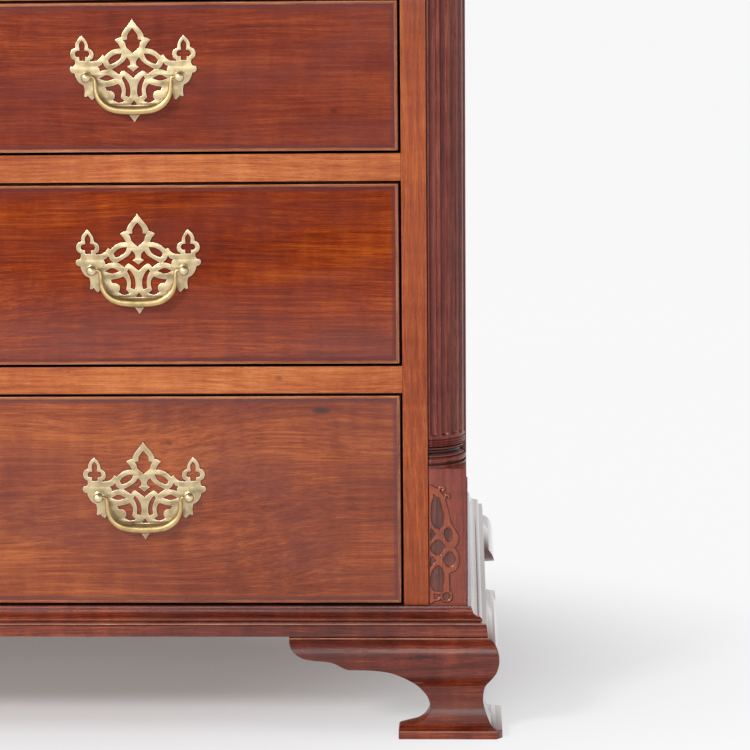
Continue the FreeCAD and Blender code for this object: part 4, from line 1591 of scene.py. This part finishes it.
@dataclass(frozen=True)
class Pull:
    """A bail pull: pierced plate, two turned posts and a swinging bail."""

    # 3 1/2 in between the posts
    centres: float = 88.9
    plate_thick: float = 1.6
    plate_bevel: float = 0.5
    # how far the pivots stand out from the drawer's face
    pivot_stand: float = 8.0
    # radius of a bail's pins, and what its arms and its grip add across and in depth
    pin: float = 1.5
    arm: Flat = (0.25, 0.4)
    grip: Flat = (2.25, 1.2)
    # the arms have their size after this share of the drop, to the power the grip grows with it
    arm_share: float = 1 / 6
    grip_power: float = 1.5
    drop: float = 32.0
    bail_sides: int = 14
    post_sides: int = 20

    # right half of the rim, top tip to bottom tip
    rim: tuple[Run, ...] = (
        ((0, 54.6), (2, 51.4), (4.4, 48.2), (8.3, 43.4), (10.2, 40), (10.8, 37.4)),
        ((10.8, 37.4), (13.6, 36.8), (17, 34.8)),
        ((17, 34.8), (13.6, 31), (11.4, 26.6)),
        ((11.4, 26.6), (16, 26.4), (21.4, 24.2), (26.8, 19.6)),
        ((26.8, 19.6), (29, 21.3)),
        ((29, 21.3), (31.2, 18), (35, 15.4), (41, 14.8)),
        ((41, 14.8), (41, 16)),
        ((41, 16), (38.4, 17.6), (37.4, 21.4), (38.8, 25), (42.2, 27.2)),
        ((42.2, 27.2), (43, 31.4), (45.2, 35.4), (48.3, 39.1)),
        ((48.3, 39.1), (51.8, 35.8), (54.2, 31.8), (54.6, 27.8)),
        ((54.6, 27.8), (58, 26), (59.6, 22), (58.4, 18), (55.4, 16)),
        ((55.4, 16), (55.2, 12.8), (56.6, 10.2)),
        ((56.6, 10.2), (59.4, 9.8), (60.4, 7.2), (59, 4.4), (56, 3.4)),
        ((56, 3.4), (54.9, -0.6), (51.8, -5.2), (47.6, -7.8)),
        ((47.6, -7.8), (46.8, -13), (47.4, -18.6)),
        ((47.4, -18.6), (45.4, -18.7), (43.9, -17.6)),
        ((43.9, -17.6), (42, -19.8), (39.9, -21.8)),
        ((39.9, -21.8), (37.6, -19), (37, -13)),
        ((37, -13), (34.4, -20.4), (28.6, -27), (19, -31.6), (7, -34.6)),
        ((7, -34.6), (3.4, -38), (0, -43.2)),
    )
    # right halves of the openings that cross the middle
    middle_openings: tuple[tuple[Run, ...], ...] = (
        (
            ((0, 45.8), (2.8, 42.6), (4.9, 39), (5.1, 35.2)),
            ((5.1, 35.2), (8.9, 34.4)),
            ((8.9, 34.4), (7, 31.4), (6.2, 27.8)),
            ((6.2, 27.8), (3, 24.8), (0, 22.2)),
        ),
        (
            ((0, 4.9), (2.8, 7.2), (5.7, 9.3)),
            ((5.7, 9.3), (3, 11), (2.8, 14.2), (4, 16.6), (6, 18.4)),
            ((6, 18.4), (9, 14.2), (14.2, 10.6), (20.6, 7)),
            ((20.6, 7), (17.2, 5), (13.4, 2.2)),
            ((13.4, 2.2), (11.4, 4.8), (8.9, 6)),
            ((8.9, 6), (4.2, 2.6), (0, -1.1)),
        ),
        (
            ((0, -22.2), (1.6, -24.4), (3.2, -26.4)),
            ((3.2, -26.4), (1.5, -26.7), (0, -26.8)),
        ),
    )
    # openings on the right, each mirrored on the left
    side_openings: tuple[tuple[Run, ...], ...] = (
        (
            ((10.3, 21.8), (16.2, 21.3), (21.2, 18.7), (23.8, 15.5)),
            ((23.8, 15.5), (22.8, 13.2), (21.5, 11.8)),
            ((21.5, 11.8), (17.4, 13.4), (12.8, 16.6), (10.3, 21.8)),
        ),
        (
            ((28.8, 13.4), (30.8, 11), (33.6, 9.8)),
            ((33.6, 9.8), (32.2, 7.6), (31.8, 5)),
            ((31.8, 5), (28, 6.4), (23.9, 7)),
            ((23.9, 7), (26.8, 9.6), (28.8, 13.4)),
        ),
        (
            ((18, -1.5), (25.5, 1.7), (32.7, -1.6)),
            ((32.7, -1.6), (25.5, -3.7), (18, -1.5)),
        ),
        (
            ((9.5, 0.7), (6.4, -2.8), (3.7, -8.4), (3.2, -15.6), (4.4, -19.3)),
            ((4.4, -19.3), (8, -17.8)),
            ((8, -17.8), (7.6, -12), (8.8, -6.6), (11.2, -1.7)),
            ((11.2, -1.7), (9.5, 0.7)),
        ),
        (
            ((14.6, -6.6), (20.4, -8.5), (27.2, -9.7)),
            ((27.2, -9.7), (25.6, -12.9)),
            ((25.6, -12.9), (21.7, -13.1)),
            ((21.7, -13.1), (18.9, -15.4), (18.4, -19.2), (20, -21.9)),
            ((20, -21.9), (14.6, -24.5), (8.9, -22.9)),
            ((8.9, -22.9), (12.6, -19.6)),
            ((12.6, -19.6), (11.4, -14), (12.2, -9.6), (14.6, -6.6)),
        ),
        (
            ((48.3, 34.8), (50.9, 31), (50.6, 25)),
            ((50.6, 25), (53.8, 24.4), (55.2, 21.7), (53.8, 19.2), (51, 19.2)),
            ((51, 19.2), (51, 15.4)),
            ((51, 15.4), (45.5, 15.4)),
            ((45.5, 15.4), (45.5, 19.2)),
            ((45.5, 19.2), (42.8, 19.2), (41.4, 21.7), (42.8, 24.4), (46, 25)),
            ((46, 25), (45.7, 31), (48.3, 34.8)),
        ),
    )
    # (distance out from the drawer's face, radius) along a turned post
    turning: tuple[Run, ...] = (
        ((1.6, 5.5), (2.6, 5.4), (3.2, 4.4)),
        ((3.2, 4.4), (4.2, 3.1), (5.2, 3.4)),
        ((5.2, 3.4), (6, 4.3), (8, 4.9), (10.2, 4.4), (11.6, 2.9), (12.3, 1.2), (12.4, 0.1)),
    )
    # (distance behind the board, radius) of the square nut and of the bolt's end
    nut: Run = ((0, 6.4), (2.4, 6.4), (3, 5.8))
    bolt: Run = ((2.8, 2.2), (4.2, 2.2), (4.6, 1.6))
    # (in from the post's axis, up) down the arm of a bail
    bail_arm: Run = (
        (2.9, 0.2), (5.4, 0.5), (7.6, -0.8), (8.4, -3.8), (8.6, -8), (9.2, -14), (11.8, -20.6),
        (17.8, -26.8), (27.4, -30.7),
    )

    def outlines(self) -> list[list[Flat]]:
        """Draw the plate's rim and every opening, both halves.

        Returns:
            The closed outlines, rim first.
        """
        loops = [self._both_halves(joined(self.rim))]
        loops += [self._both_halves(joined(opening)) for opening in self.middle_openings]
        for opening in self.side_openings:
            right = joined(opening)[:-1]
            loops += [right, [(-across, up) for across, up in reversed(right)]]
        return loops

    @staticmethod
    def _both_halves(right: list[Flat]) -> list[Flat]:
        """Close a right half with its mirror image."""
        return right + [(-across, up) for across, up in reversed(right[1:-1])]

    def plates(self, name: str, face: float, middles: Sequence[Flat]) -> bpy.types.Object:
        """Build the plates of a drawer as one piece.

        Args:
            name: the piece's name.
            face: how far back the drawer's face is.
            middles: (across, up) between the posts of each pull.

        Returns:
            The plates, bevelled at every edge.
        """
        sheet = bpy.data.curves.new(name, "CURVE")
        sheet.dimensions = "2D"
        sheet.fill_mode = "BOTH"
        sheet.extrude = (self.plate_thick / 2 - self.plate_bevel) * MM
        sheet.bevel_depth = self.plate_bevel * MM
        sheet.bevel_resolution = 1
        sheet.offset = -self.plate_bevel * MM
        for middle_across, middle_up in middles:
            for loop in self.outlines():
                line = sheet.splines.new("POLY")
                line.points.add(len(loop) - 1)
                for point, (across, up) in zip(line.points, loop):
                    point.co = ((middle_across + across) * MM, (middle_up + up) * MM, 0, 1)
                line.use_cyclic_u = True
        drawn = bpy.data.objects.new(name, sheet)
        mesh = bpy.data.meshes.new_from_object(drawn)
        bpy.data.objects.remove(drawn)
        middle = Matrix.Translation((0, (face - self.plate_thick / 2) * MM, 0))
        mesh.transform(middle @ Matrix.Rotation(math.pi / 2, 4, "X"))
        work = bmesh.new()
        work.from_mesh(mesh)
        return welded(name, mesh, work, crease=30)

    def post(self, face: float, thick: float, across: float, up: float) -> Skin:
        """Skin a post: turned head in front, bolt end and square nut behind.

        Args:
            face: how far back the drawer's face is.
            thick: thickness of the drawer's front.
            across: place of its axis.
            up: height of its axis.

        Returns:
            Corners and faces.
        """
        def turned(profile: Run, sides: int) -> Skin:
            """Turn a profile about the post's axis.

            Args:
                profile: (distance out, radius) points.
                sides: facets round the axis.

            Returns:
                Corners and faces.
            """
            turns = [2 * math.pi * step / sides + math.pi / 4 for step in range(sides)]
            return loft([
                [
                    (across + radius * math.cos(turn), face - out, up + radius * math.sin(turn))
                    for turn in turns
                ]
                for out, radius in profile
            ])

        head = turned(joined(self.turning), self.post_sides)
        nut = turned([(-thick - behind, radius) for behind, radius in self.nut], sides=4)
        bolt = turned([(-thick - behind, radius) for behind, radius in self.bolt], sides=12)
        return several((head, nut, bolt))

    def bail(self, name: str, face: float, across: float, up: float) -> bpy.types.Object:
        """Build a bail that swells towards its grip and turns out into the posts.

        Args:
            name: the piece's name.
            face: how far back the drawer's face is.
            across: middle between its posts.
            up: height of its pivots.

        Returns:
            The bail.
        """
        half = self.centres / 2
        right = smoothed([*((half - inward, z) for inward, z in self.bail_arm), (0, -self.drop)])
        path = right + [(-x, z) for x, z in reversed(right[:-1])]
        rings = []
        for number, (x, z) in enumerate(path):
            before, after = path[max(number - 1, 0)], path[min(number + 1, len(path) - 1)]
            run, rise = after[0] - before[0], after[1] - before[1]
            length = math.hypot(run, rise)
            hung = held(-z / self.drop)
            arm, grip = held(hung / self.arm_share), hung**self.grip_power
            wide, deep = (
                self.pin + self.arm[way] * arm + self.grip[way] * grip for way in (0, 1)
            )
            ring = []
            for step in range(self.bail_sides):
                angle = 2 * math.pi * step / self.bail_sides
                aside = wide * math.cos(angle)
                ring.append((
                    across + x - aside * rise / length,
                    face - self.pivot_stand + deep * math.sin(angle),
                    up + z + aside * run / length,
                ))
            rings.append(ring)
        return make_mesh(name, *loft(rings), crease=50)


@dataclass(frozen=True)
class FrontTone:
    """What sets the board of one drawer's front off from the others."""

    dark: str
    middle: str
    light: str
    sheen: float
    wander: float
    pore: str = "32100A"
    cool: str = "6E3028"
    # share of its height up to which a painted sheen, standing in for a reflection, rises
    painted_sheen: float = 0.0
    # across and up to the middle of a knot
    knot: Flat | None = None


# The fronts are sawn from different boards; the lowest is the palest and the wildest.
FRONT_TONES = (
    FrontTone("56180A", "7C2C0E", "9C461E", sheen=0.18, wander=14),
    FrontTone("54160A", "7A2A0E", "9A441E", sheen=0.18, wander=18),
    FrontTone("581803", "842D04", "AA4E12", sheen=0.1, wander=22, painted_sheen=0.55),
    FrontTone("66240C", "8E3E18", "B4602C", sheen=0.46, wander=44, knot=(372, 321.5)),
)


@dataclass(frozen=True)
class Drawer:
    """One long drawer with its cock bead, box and two pulls."""

    number: int
    tone: FrontTone
    pull: Pull
    bead_face: float = 3.0
    # the bead's arris is rounded: in from its edge, back from its face, and on to the board
    bead_round: Flat = (0.25, 0.7)
    bead_lip: float = 0.2
    # the bead's outer arris carries a painted highlight to this width, and its outer face, in the
    # gap, is painted near black as painted shade with some dirt
    painted_highlight: float = 0.7
    gap_shade: float = 0.05
    # the bead stands in from the edge of its board by this much
    worn: float = 0.7
    # widths of the eased arris of the front and of the box
    front_arris: float = 0.4
    box_arris: float = 0.8

    @property
    def name(self) -> str:
        """The drawer's body."""
        return f"drawer_{self.number}"

    def front(self) -> None:
        """Ease the front board and set it in its finish."""
        node, tone = f"{self.name}_front", self.tone
        board, bead = Span.of(node), Span.of(f"{self.name}_cock_bead")
        # A pale painted sheen, standing in for a reflection, rises from the lower edge of some
        # fronts.
        painted_sheen = board.low + tone.painted_sheen * (board.high - board.low) if tone.painted_sheen else 0.0
        finish = Wood(
            f"mahogany_front_{self.number}", tone.dark, tone.middle, tone.light, tone.pore,
            Grain.ACROSS, seed=5.0 * self.number, cool=tone.cool, sheen=tone.sheen,
            wander=tone.wander, painted_sheen_top=painted_sheen, knot=tone.knot,
            border=(
                bead.right - self.bead_face, (bead.low + bead.high) / 2,
                (bead.high - bead.low) / 2 - self.bead_face
            ),
        )
        lay(eased(node, self.front_arris), finish, self.name, "drawer_mahogany", node)

    def bead(self) -> None:
        """Build the cock bead, mitred at the corners and rounded on its face."""
        node = f"{self.name}_cock_bead"
        span = Span.of(node)
        wide, back, face = self.bead_face, span.back, span.front
        right, low, high = span.right - self.worn, span.low + self.worn, span.high - self.worn
        board = Span.of(f"{self.name}_front").front + self.bead_lip
        inward, fall = self.bead_round
        crown = (
            (0.0, board), (inward, face + fall), (wide / 2, face), (wide - inward, face + fall),
            (wide, board)
        )
        section = [(0.0, back), *smoothed(crown), (wide, back)]
        level, upright = [], []
        for sign in (1, -1):
            edge = high if sign > 0 else low
            level.append(loft([
                [(hand * (right - inset), deep, edge - sign * inset) for inset, deep in section]
                for hand in (-1, 1)
            ]))
            upright.append(loft([
                [(sign * (right - inset), deep, end - way * inset) for inset, deep in section]
                for end, way in ((low, -1), (high, 1))
            ]))
        strips = (
            ("level", level, BEAD_MAHOGANY, lambda spot: min(spot.z - low, high - spot.z)),
            ("upright", upright, BEAD_END_MAHOGANY, lambda spot: right - abs(spot.x)),
        )
        for way, skins, finish, inset_of in strips:
            piece = make_mesh(f"{node}_{way}", *several(skins))
            lay(piece, finish, self.name, "bead_mahogany", node)
            # A painted highlight runs along the outer arris; the outer face in the gap takes
            # painted shade with some dirt.
            pick_out(piece, BEAD_HIGHLIGHT, lambda side: inset_of(side.center / MM) < self.painted_highlight)
            pick_out(piece, GAP_SHADE_AND_DIRT, lambda side: inset_of(side.center / MM) < self.gap_shade)

    def box(self) -> None:
        """Ease the plain boards of the drawer's box."""
        for part, finish in (("sides", POPLAR_DEEP), ("back", POPLAR), ("bottom", POPLAR)):
            node = f"{self.name}_{part}"
            lay(eased(node, self.box_arris), finish, self.name, "secondary_wood", node)

    def brasses(self) -> None:
        """Build plates, posts and bails on the pivots that the frame gives."""
        board, posts = Span.of(f"{self.name}_front"), Span.of(f"{self.name}_posts")
        up = (posts.low + posts.high) / 2
        bail_span = Span.of(f"{self.name}_bail_right")
        middle = (bail_span.left + bail_span.right) / 2
        face, thick = board.front, board.back - board.front
        plates = self.pull.plates(
            f"{self.name}_plates_pierced", face, [(-middle, up), (middle, up)]
        )
        lay(plates, PLATE_BRASS, self.name, "plate_brass", f"{self.name}_plates")
        # The bevelled edges of the plates carry a painted highlight.
        pick_out(plates, EDGE_HIGHLIGHT_BRASS, lambda side: LEANING < -side.normal.y < NEARLY)
        half = self.pull.centres / 2
        turned = [
            self.pull.post(face, thick, hand * middle + end * half, up)
            for hand in (-1, 1) for end in (-1, 1)
        ]
        heads = make_mesh(f"{self.name}_posts_turned", *several(turned), crease=45)
        lay(heads, POST_BRASS, self.name, "bail_brass", f"{self.name}_posts")
        for side, hand in HANDS.items():
            node = f"{self.name}_bail_{side}"
            bail = self.pull.bail(f"{node}_cast", face, hand * middle, up)
            lay(bail, BAIL_BRASS, node, "bail_brass", node)

    def build(self) -> None:
        """Build the whole drawer."""
        self.front()
        self.bead()
        self.box()
        self.brasses()


# ---------------------------------------------------------------- stage

@dataclass(frozen=True)
class Studio:
    """A pale floor, a pale sky and soft lamps."""

    floor_size: float = 90.0
    sky: float = 0.4
    ceiling: float = 0.15
    floor_white: str = "F2F2F6"
    sweep_white: str = "FBFBFC"
    # the floor's lift towards white near the chest and far off, and where it rises,
    # counted in footprints from the middle
    near_lift: float = 0.16
    far_lift: float = 0.95
    rise_from: float = 0.4
    rise_to: float = 1.65
    # the chest's footprint, half wide and half deep, in metres
    footprint: Flat = (0.62, 0.32)
    # heights of the sky, as parts of a unit vector, between which the ceiling begins
    ceiling_edge: Flat = (0.2, 0.6)

    def floor(self) -> None:
        """Lay the floor; to the eye it is lifted towards white and keeps its shadows."""
        half = self.floor_size / 2
        mesh = bpy.data.meshes.new("floor")
        mesh.from_pydata(
            [(-half, -half, 0), (half, -half, 0), (half, half, 0), (-half, half, 0)], [],
            [(0, 1, 2, 3)]
        )
        floor = bpy.data.objects.new("floor", mesh)
        bpy.context.scene.collection.objects.link(floor)
        material = bpy.data.materials.new("painted_floor")
        material.use_nodes = True
        tree = material.node_tree
        tree.nodes.clear()
        rays = add_node(tree, "ShaderNodeLightPath")
        seen = self._seen(tree, rays)
        matt = add_node(tree, "ShaderNodeBsdfDiffuse", {"Color": linear(self.floor_white)})
        white = add_node(
            tree, "ShaderNodeEmission", {"Color": linear(self.sweep_white), "Strength": 1.0}
        )
        # Round the chest the floor keeps its shadows; further off it goes white like a paper sweep.
        place = add_node(tree, "ShaderNodeTexCoord")
        feet = (1 / self.footprint[0], 1 / self.footprint[1], 0)
        spread = add_node(
            tree, "ShaderNodeVectorMath", {0: place.outputs["Object"], 1: feet},
            operation="MULTIPLY"
        )
        away = add_node(tree, "ShaderNodeVectorMath", {0: spread.outputs[0]}, operation="LENGTH")
        lift = add_node(tree, "ShaderNodeMapRange", {
            "Value": away.outputs["Value"], "From Min": self.rise_from, "From Max": self.rise_to,
            "To Min": self.near_lift, "To Max": self.far_lift,
        }, interpolation_type="SMOOTHSTEP")
        share = add_node(
            tree, "ShaderNodeMath", {0: seen, 1: lift.outputs[0]}, operation="MULTIPLY"
        )
        both = add_node(
            tree, "ShaderNodeMixShader",
            {0: share.outputs[0], 1: matt.outputs[0], 2: white.outputs[0]}
        )
        add_node(tree, "ShaderNodeOutputMaterial", {"Surface": both.outputs[0]})
        mesh.materials.append(material)

    @staticmethod
    def _seen(tree: bpy.types.NodeTree, rays: bpy.types.Node) -> bpy.types.NodeSocket:
        """Add up the rays that look: camera, glossy and transmission.

        Args:
            tree: the nodes of the floor or of the world.
            rays: its Light Path node.

        Returns:
            1 for a ray that looks, 0 for one that lights.
        """
        first = add_node(tree, "ShaderNodeMath", {
            0: rays.outputs["Is Camera Ray"], 1: rays.outputs["Is Glossy Ray"]
        }, operation="MAXIMUM")
        return add_node(tree, "ShaderNodeMath", {
            0: first.outputs[0], 1: rays.outputs["Is Transmission Ray"]
        }, operation="MAXIMUM").outputs[0]

    def sky_light(self) -> None:
        """Light the world evenly; a look finds white, and a reflection a dimmer ceiling."""
        world = bpy.data.worlds.new("pale_studio")
        bpy.context.scene.world = world
        world.use_nodes = True
        tree = world.node_tree
        rays = add_node(tree, "ShaderNodeLightPath")
        way = add_node(tree, "ShaderNodeTexCoord")
        height = add_node(tree, "ShaderNodeSeparateXYZ", {0: way.outputs["Generated"]})
        overhead = add_node(tree, "ShaderNodeMapRange", {
            "Value": height.outputs["Z"], "From Min": self.ceiling_edge[0],
            "From Max": self.ceiling_edge[1], "To Min": 1.0, "To Max": self.ceiling,
        }, interpolation_type="SMOOTHSTEP")
        mirrored = add_node(tree, "ShaderNodeMix", {
            0: rays.outputs["Is Glossy Ray"], 2: 1.0, 3: overhead.outputs[0],
        }, data_type="FLOAT")
        strength = add_node(tree, "ShaderNodeMix", {
            0: self._seen(tree, rays), 2: self.sky, 3: mirrored.outputs[0],
        }, data_type="FLOAT")
        back = tree.nodes["Background"]
        back.inputs["Color"].default_value = linear("FFFFFF")
        tree.links.new(strength.outputs[0], back.inputs["Strength"])

    @staticmethod
    def lamp(
        name: str, place: Spot, target: Spot, size: Flat, power: float, mirrored: bool = True
    ) -> None:
        """Hang a soft box.

        Args:
            name: the lamp's name.
            place: where it hangs, in metres.
            target: what it faces, in metres.
            size: its width and height in metres.
            power: watts.
            mirrored: False for a lamp that reflections don't show.
        """
        light = bpy.data.lights.new(name, "AREA")
        light.shape = "RECTANGLE"
        light.size, light.size_y = size
        light.energy = power
        lamp = bpy.data.objects.new(name, light)
        lamp.visible_glossy = mirrored
        lamp.location = place
        lamp.rotation_euler = (Vector(target) - Vector(place)).to_track_quat("-Z", "Y").to_euler()
        bpy.context.scene.collection.objects.link(lamp)

    def build(self) -> None:
        """Set up floor, sky and lamps."""
        self.floor()
        self.sky_light()
        self.lamp(
            "key_softbox", place=(-1.9, -2.6, 2.3), target=(0.1, -0.1, 0.4), size=(0.8, 0.8),
            power=76
        )
        self.lamp(
            "front_softbox", place=(0.1, -3.6, 1.25), target=(0.1, 0, 0.3), size=(2.4, 0.6),
            power=22
        )
        self.lamp(
            "top_softbox", place=(0.2, -0.5, 3.4), target=(0.2, -0.5, 0), size=(3.0, 3.0), power=30,
            mirrored=False
        )


@dataclass(frozen=True)
class Viewpoint:
    """Where the camera stands and how it looks."""

    # metres, then degrees, then millimetres, and the shift as a share of the picture
    place: Spot = (0.5052, -2.6652, 0.81135)
    turn_left: float = 2.074
    look_down: float = 10.558
    roll: float = -0.569
    lens: float = 123.26
    film: float = 36.0
    shift: float = 0.0099

    def build(self) -> None:
        """Set up the camera."""
        yaw, pitch, roll = (
            math.radians(angle) for angle in (self.turn_left, self.look_down, self.roll)
        )
        ahead = Vector((-math.sin(yaw), math.cos(yaw), 0))
        right = Vector((math.cos(yaw), math.sin(yaw), 0))
        up = Vector((0, 0, 1))
        forward = math.cos(pitch) * ahead - math.sin(pitch) * up
        above = math.sin(pitch) * ahead + math.cos(pitch) * up
        across = math.cos(roll) * right + math.sin(roll) * above
        upward = -math.sin(roll) * right + math.cos(roll) * above
        camera = bpy.data.cameras.new("viewpoint")
        camera.lens = self.lens
        camera.sensor_width = self.film
        camera.shift_x = self.shift
        stand = bpy.data.objects.new("viewpoint", camera)
        turned = Matrix((across, upward, -forward)).transposed().to_4x4()
        stand.matrix_world = Matrix.Translation(self.place) @ turned
        bpy.context.scene.collection.objects.link(stand)
        bpy.context.scene.camera = stand


def build_chest() -> None:
    """Build and dress the chest, piece by piece."""
    case = Carcase.from_frame()
    Boards().build()
    base = MitredMoulding("base_moulding", BASE_PROFILE, case.foot_top, case)
    run = lay(base.front(), BASE_MAHOGANY, "case", "base_mahogany", "base_moulding_front")
    # A painted highlight runs along the moulding's thin fillet.
    low, high = BASE_HIGHLIGHT
    pick_out(run, ARRIS_HIGHLIGHT, lambda face: low < face.center.z / MM - case.foot_top < high)
    lay(base.sides(), BASE_SIDE_MAHOGANY, "case", "base_mahogany", "base_moulding_sides")
    cove = MitredMoulding("top_moulding", TOP_COVE_PROFILE, Span.of("top_moulding").low, case)
    lay(cove.front(), TOP_MAHOGANY, "case", "case_mahogany", "top_moulding")
    lay(cove.sides(), BASE_SIDE_MAHOGANY, "case", "case_mahogany", "top_moulding")
    lay(Top(case).build(), TOP_MAHOGANY, "case", "case_mahogany", "top_board")
    foot, column, plinth = BracketFoot(case), QuarterColumn(case), FretPlinth(case)
    carving = plinth.relief()
    for side in HANDS:
        foot.front_pair(side)
        foot.rear(side)
        column.build(side)
        plinth.build(side, carving)
    pull = Pull()
    for number, tone in enumerate(FRONT_TONES, start=1):
        Drawer(number, tone, pull).build()


def main() -> None:
    logging.basicConfig(level=logging.INFO, format="%(name)s %(message)s")
    Studio().build()
    Viewpoint().build()
    build_chest()
    bpy.context.scene.view_settings.view_transform = "Standard"


if __name__ == "__main__":
    main()
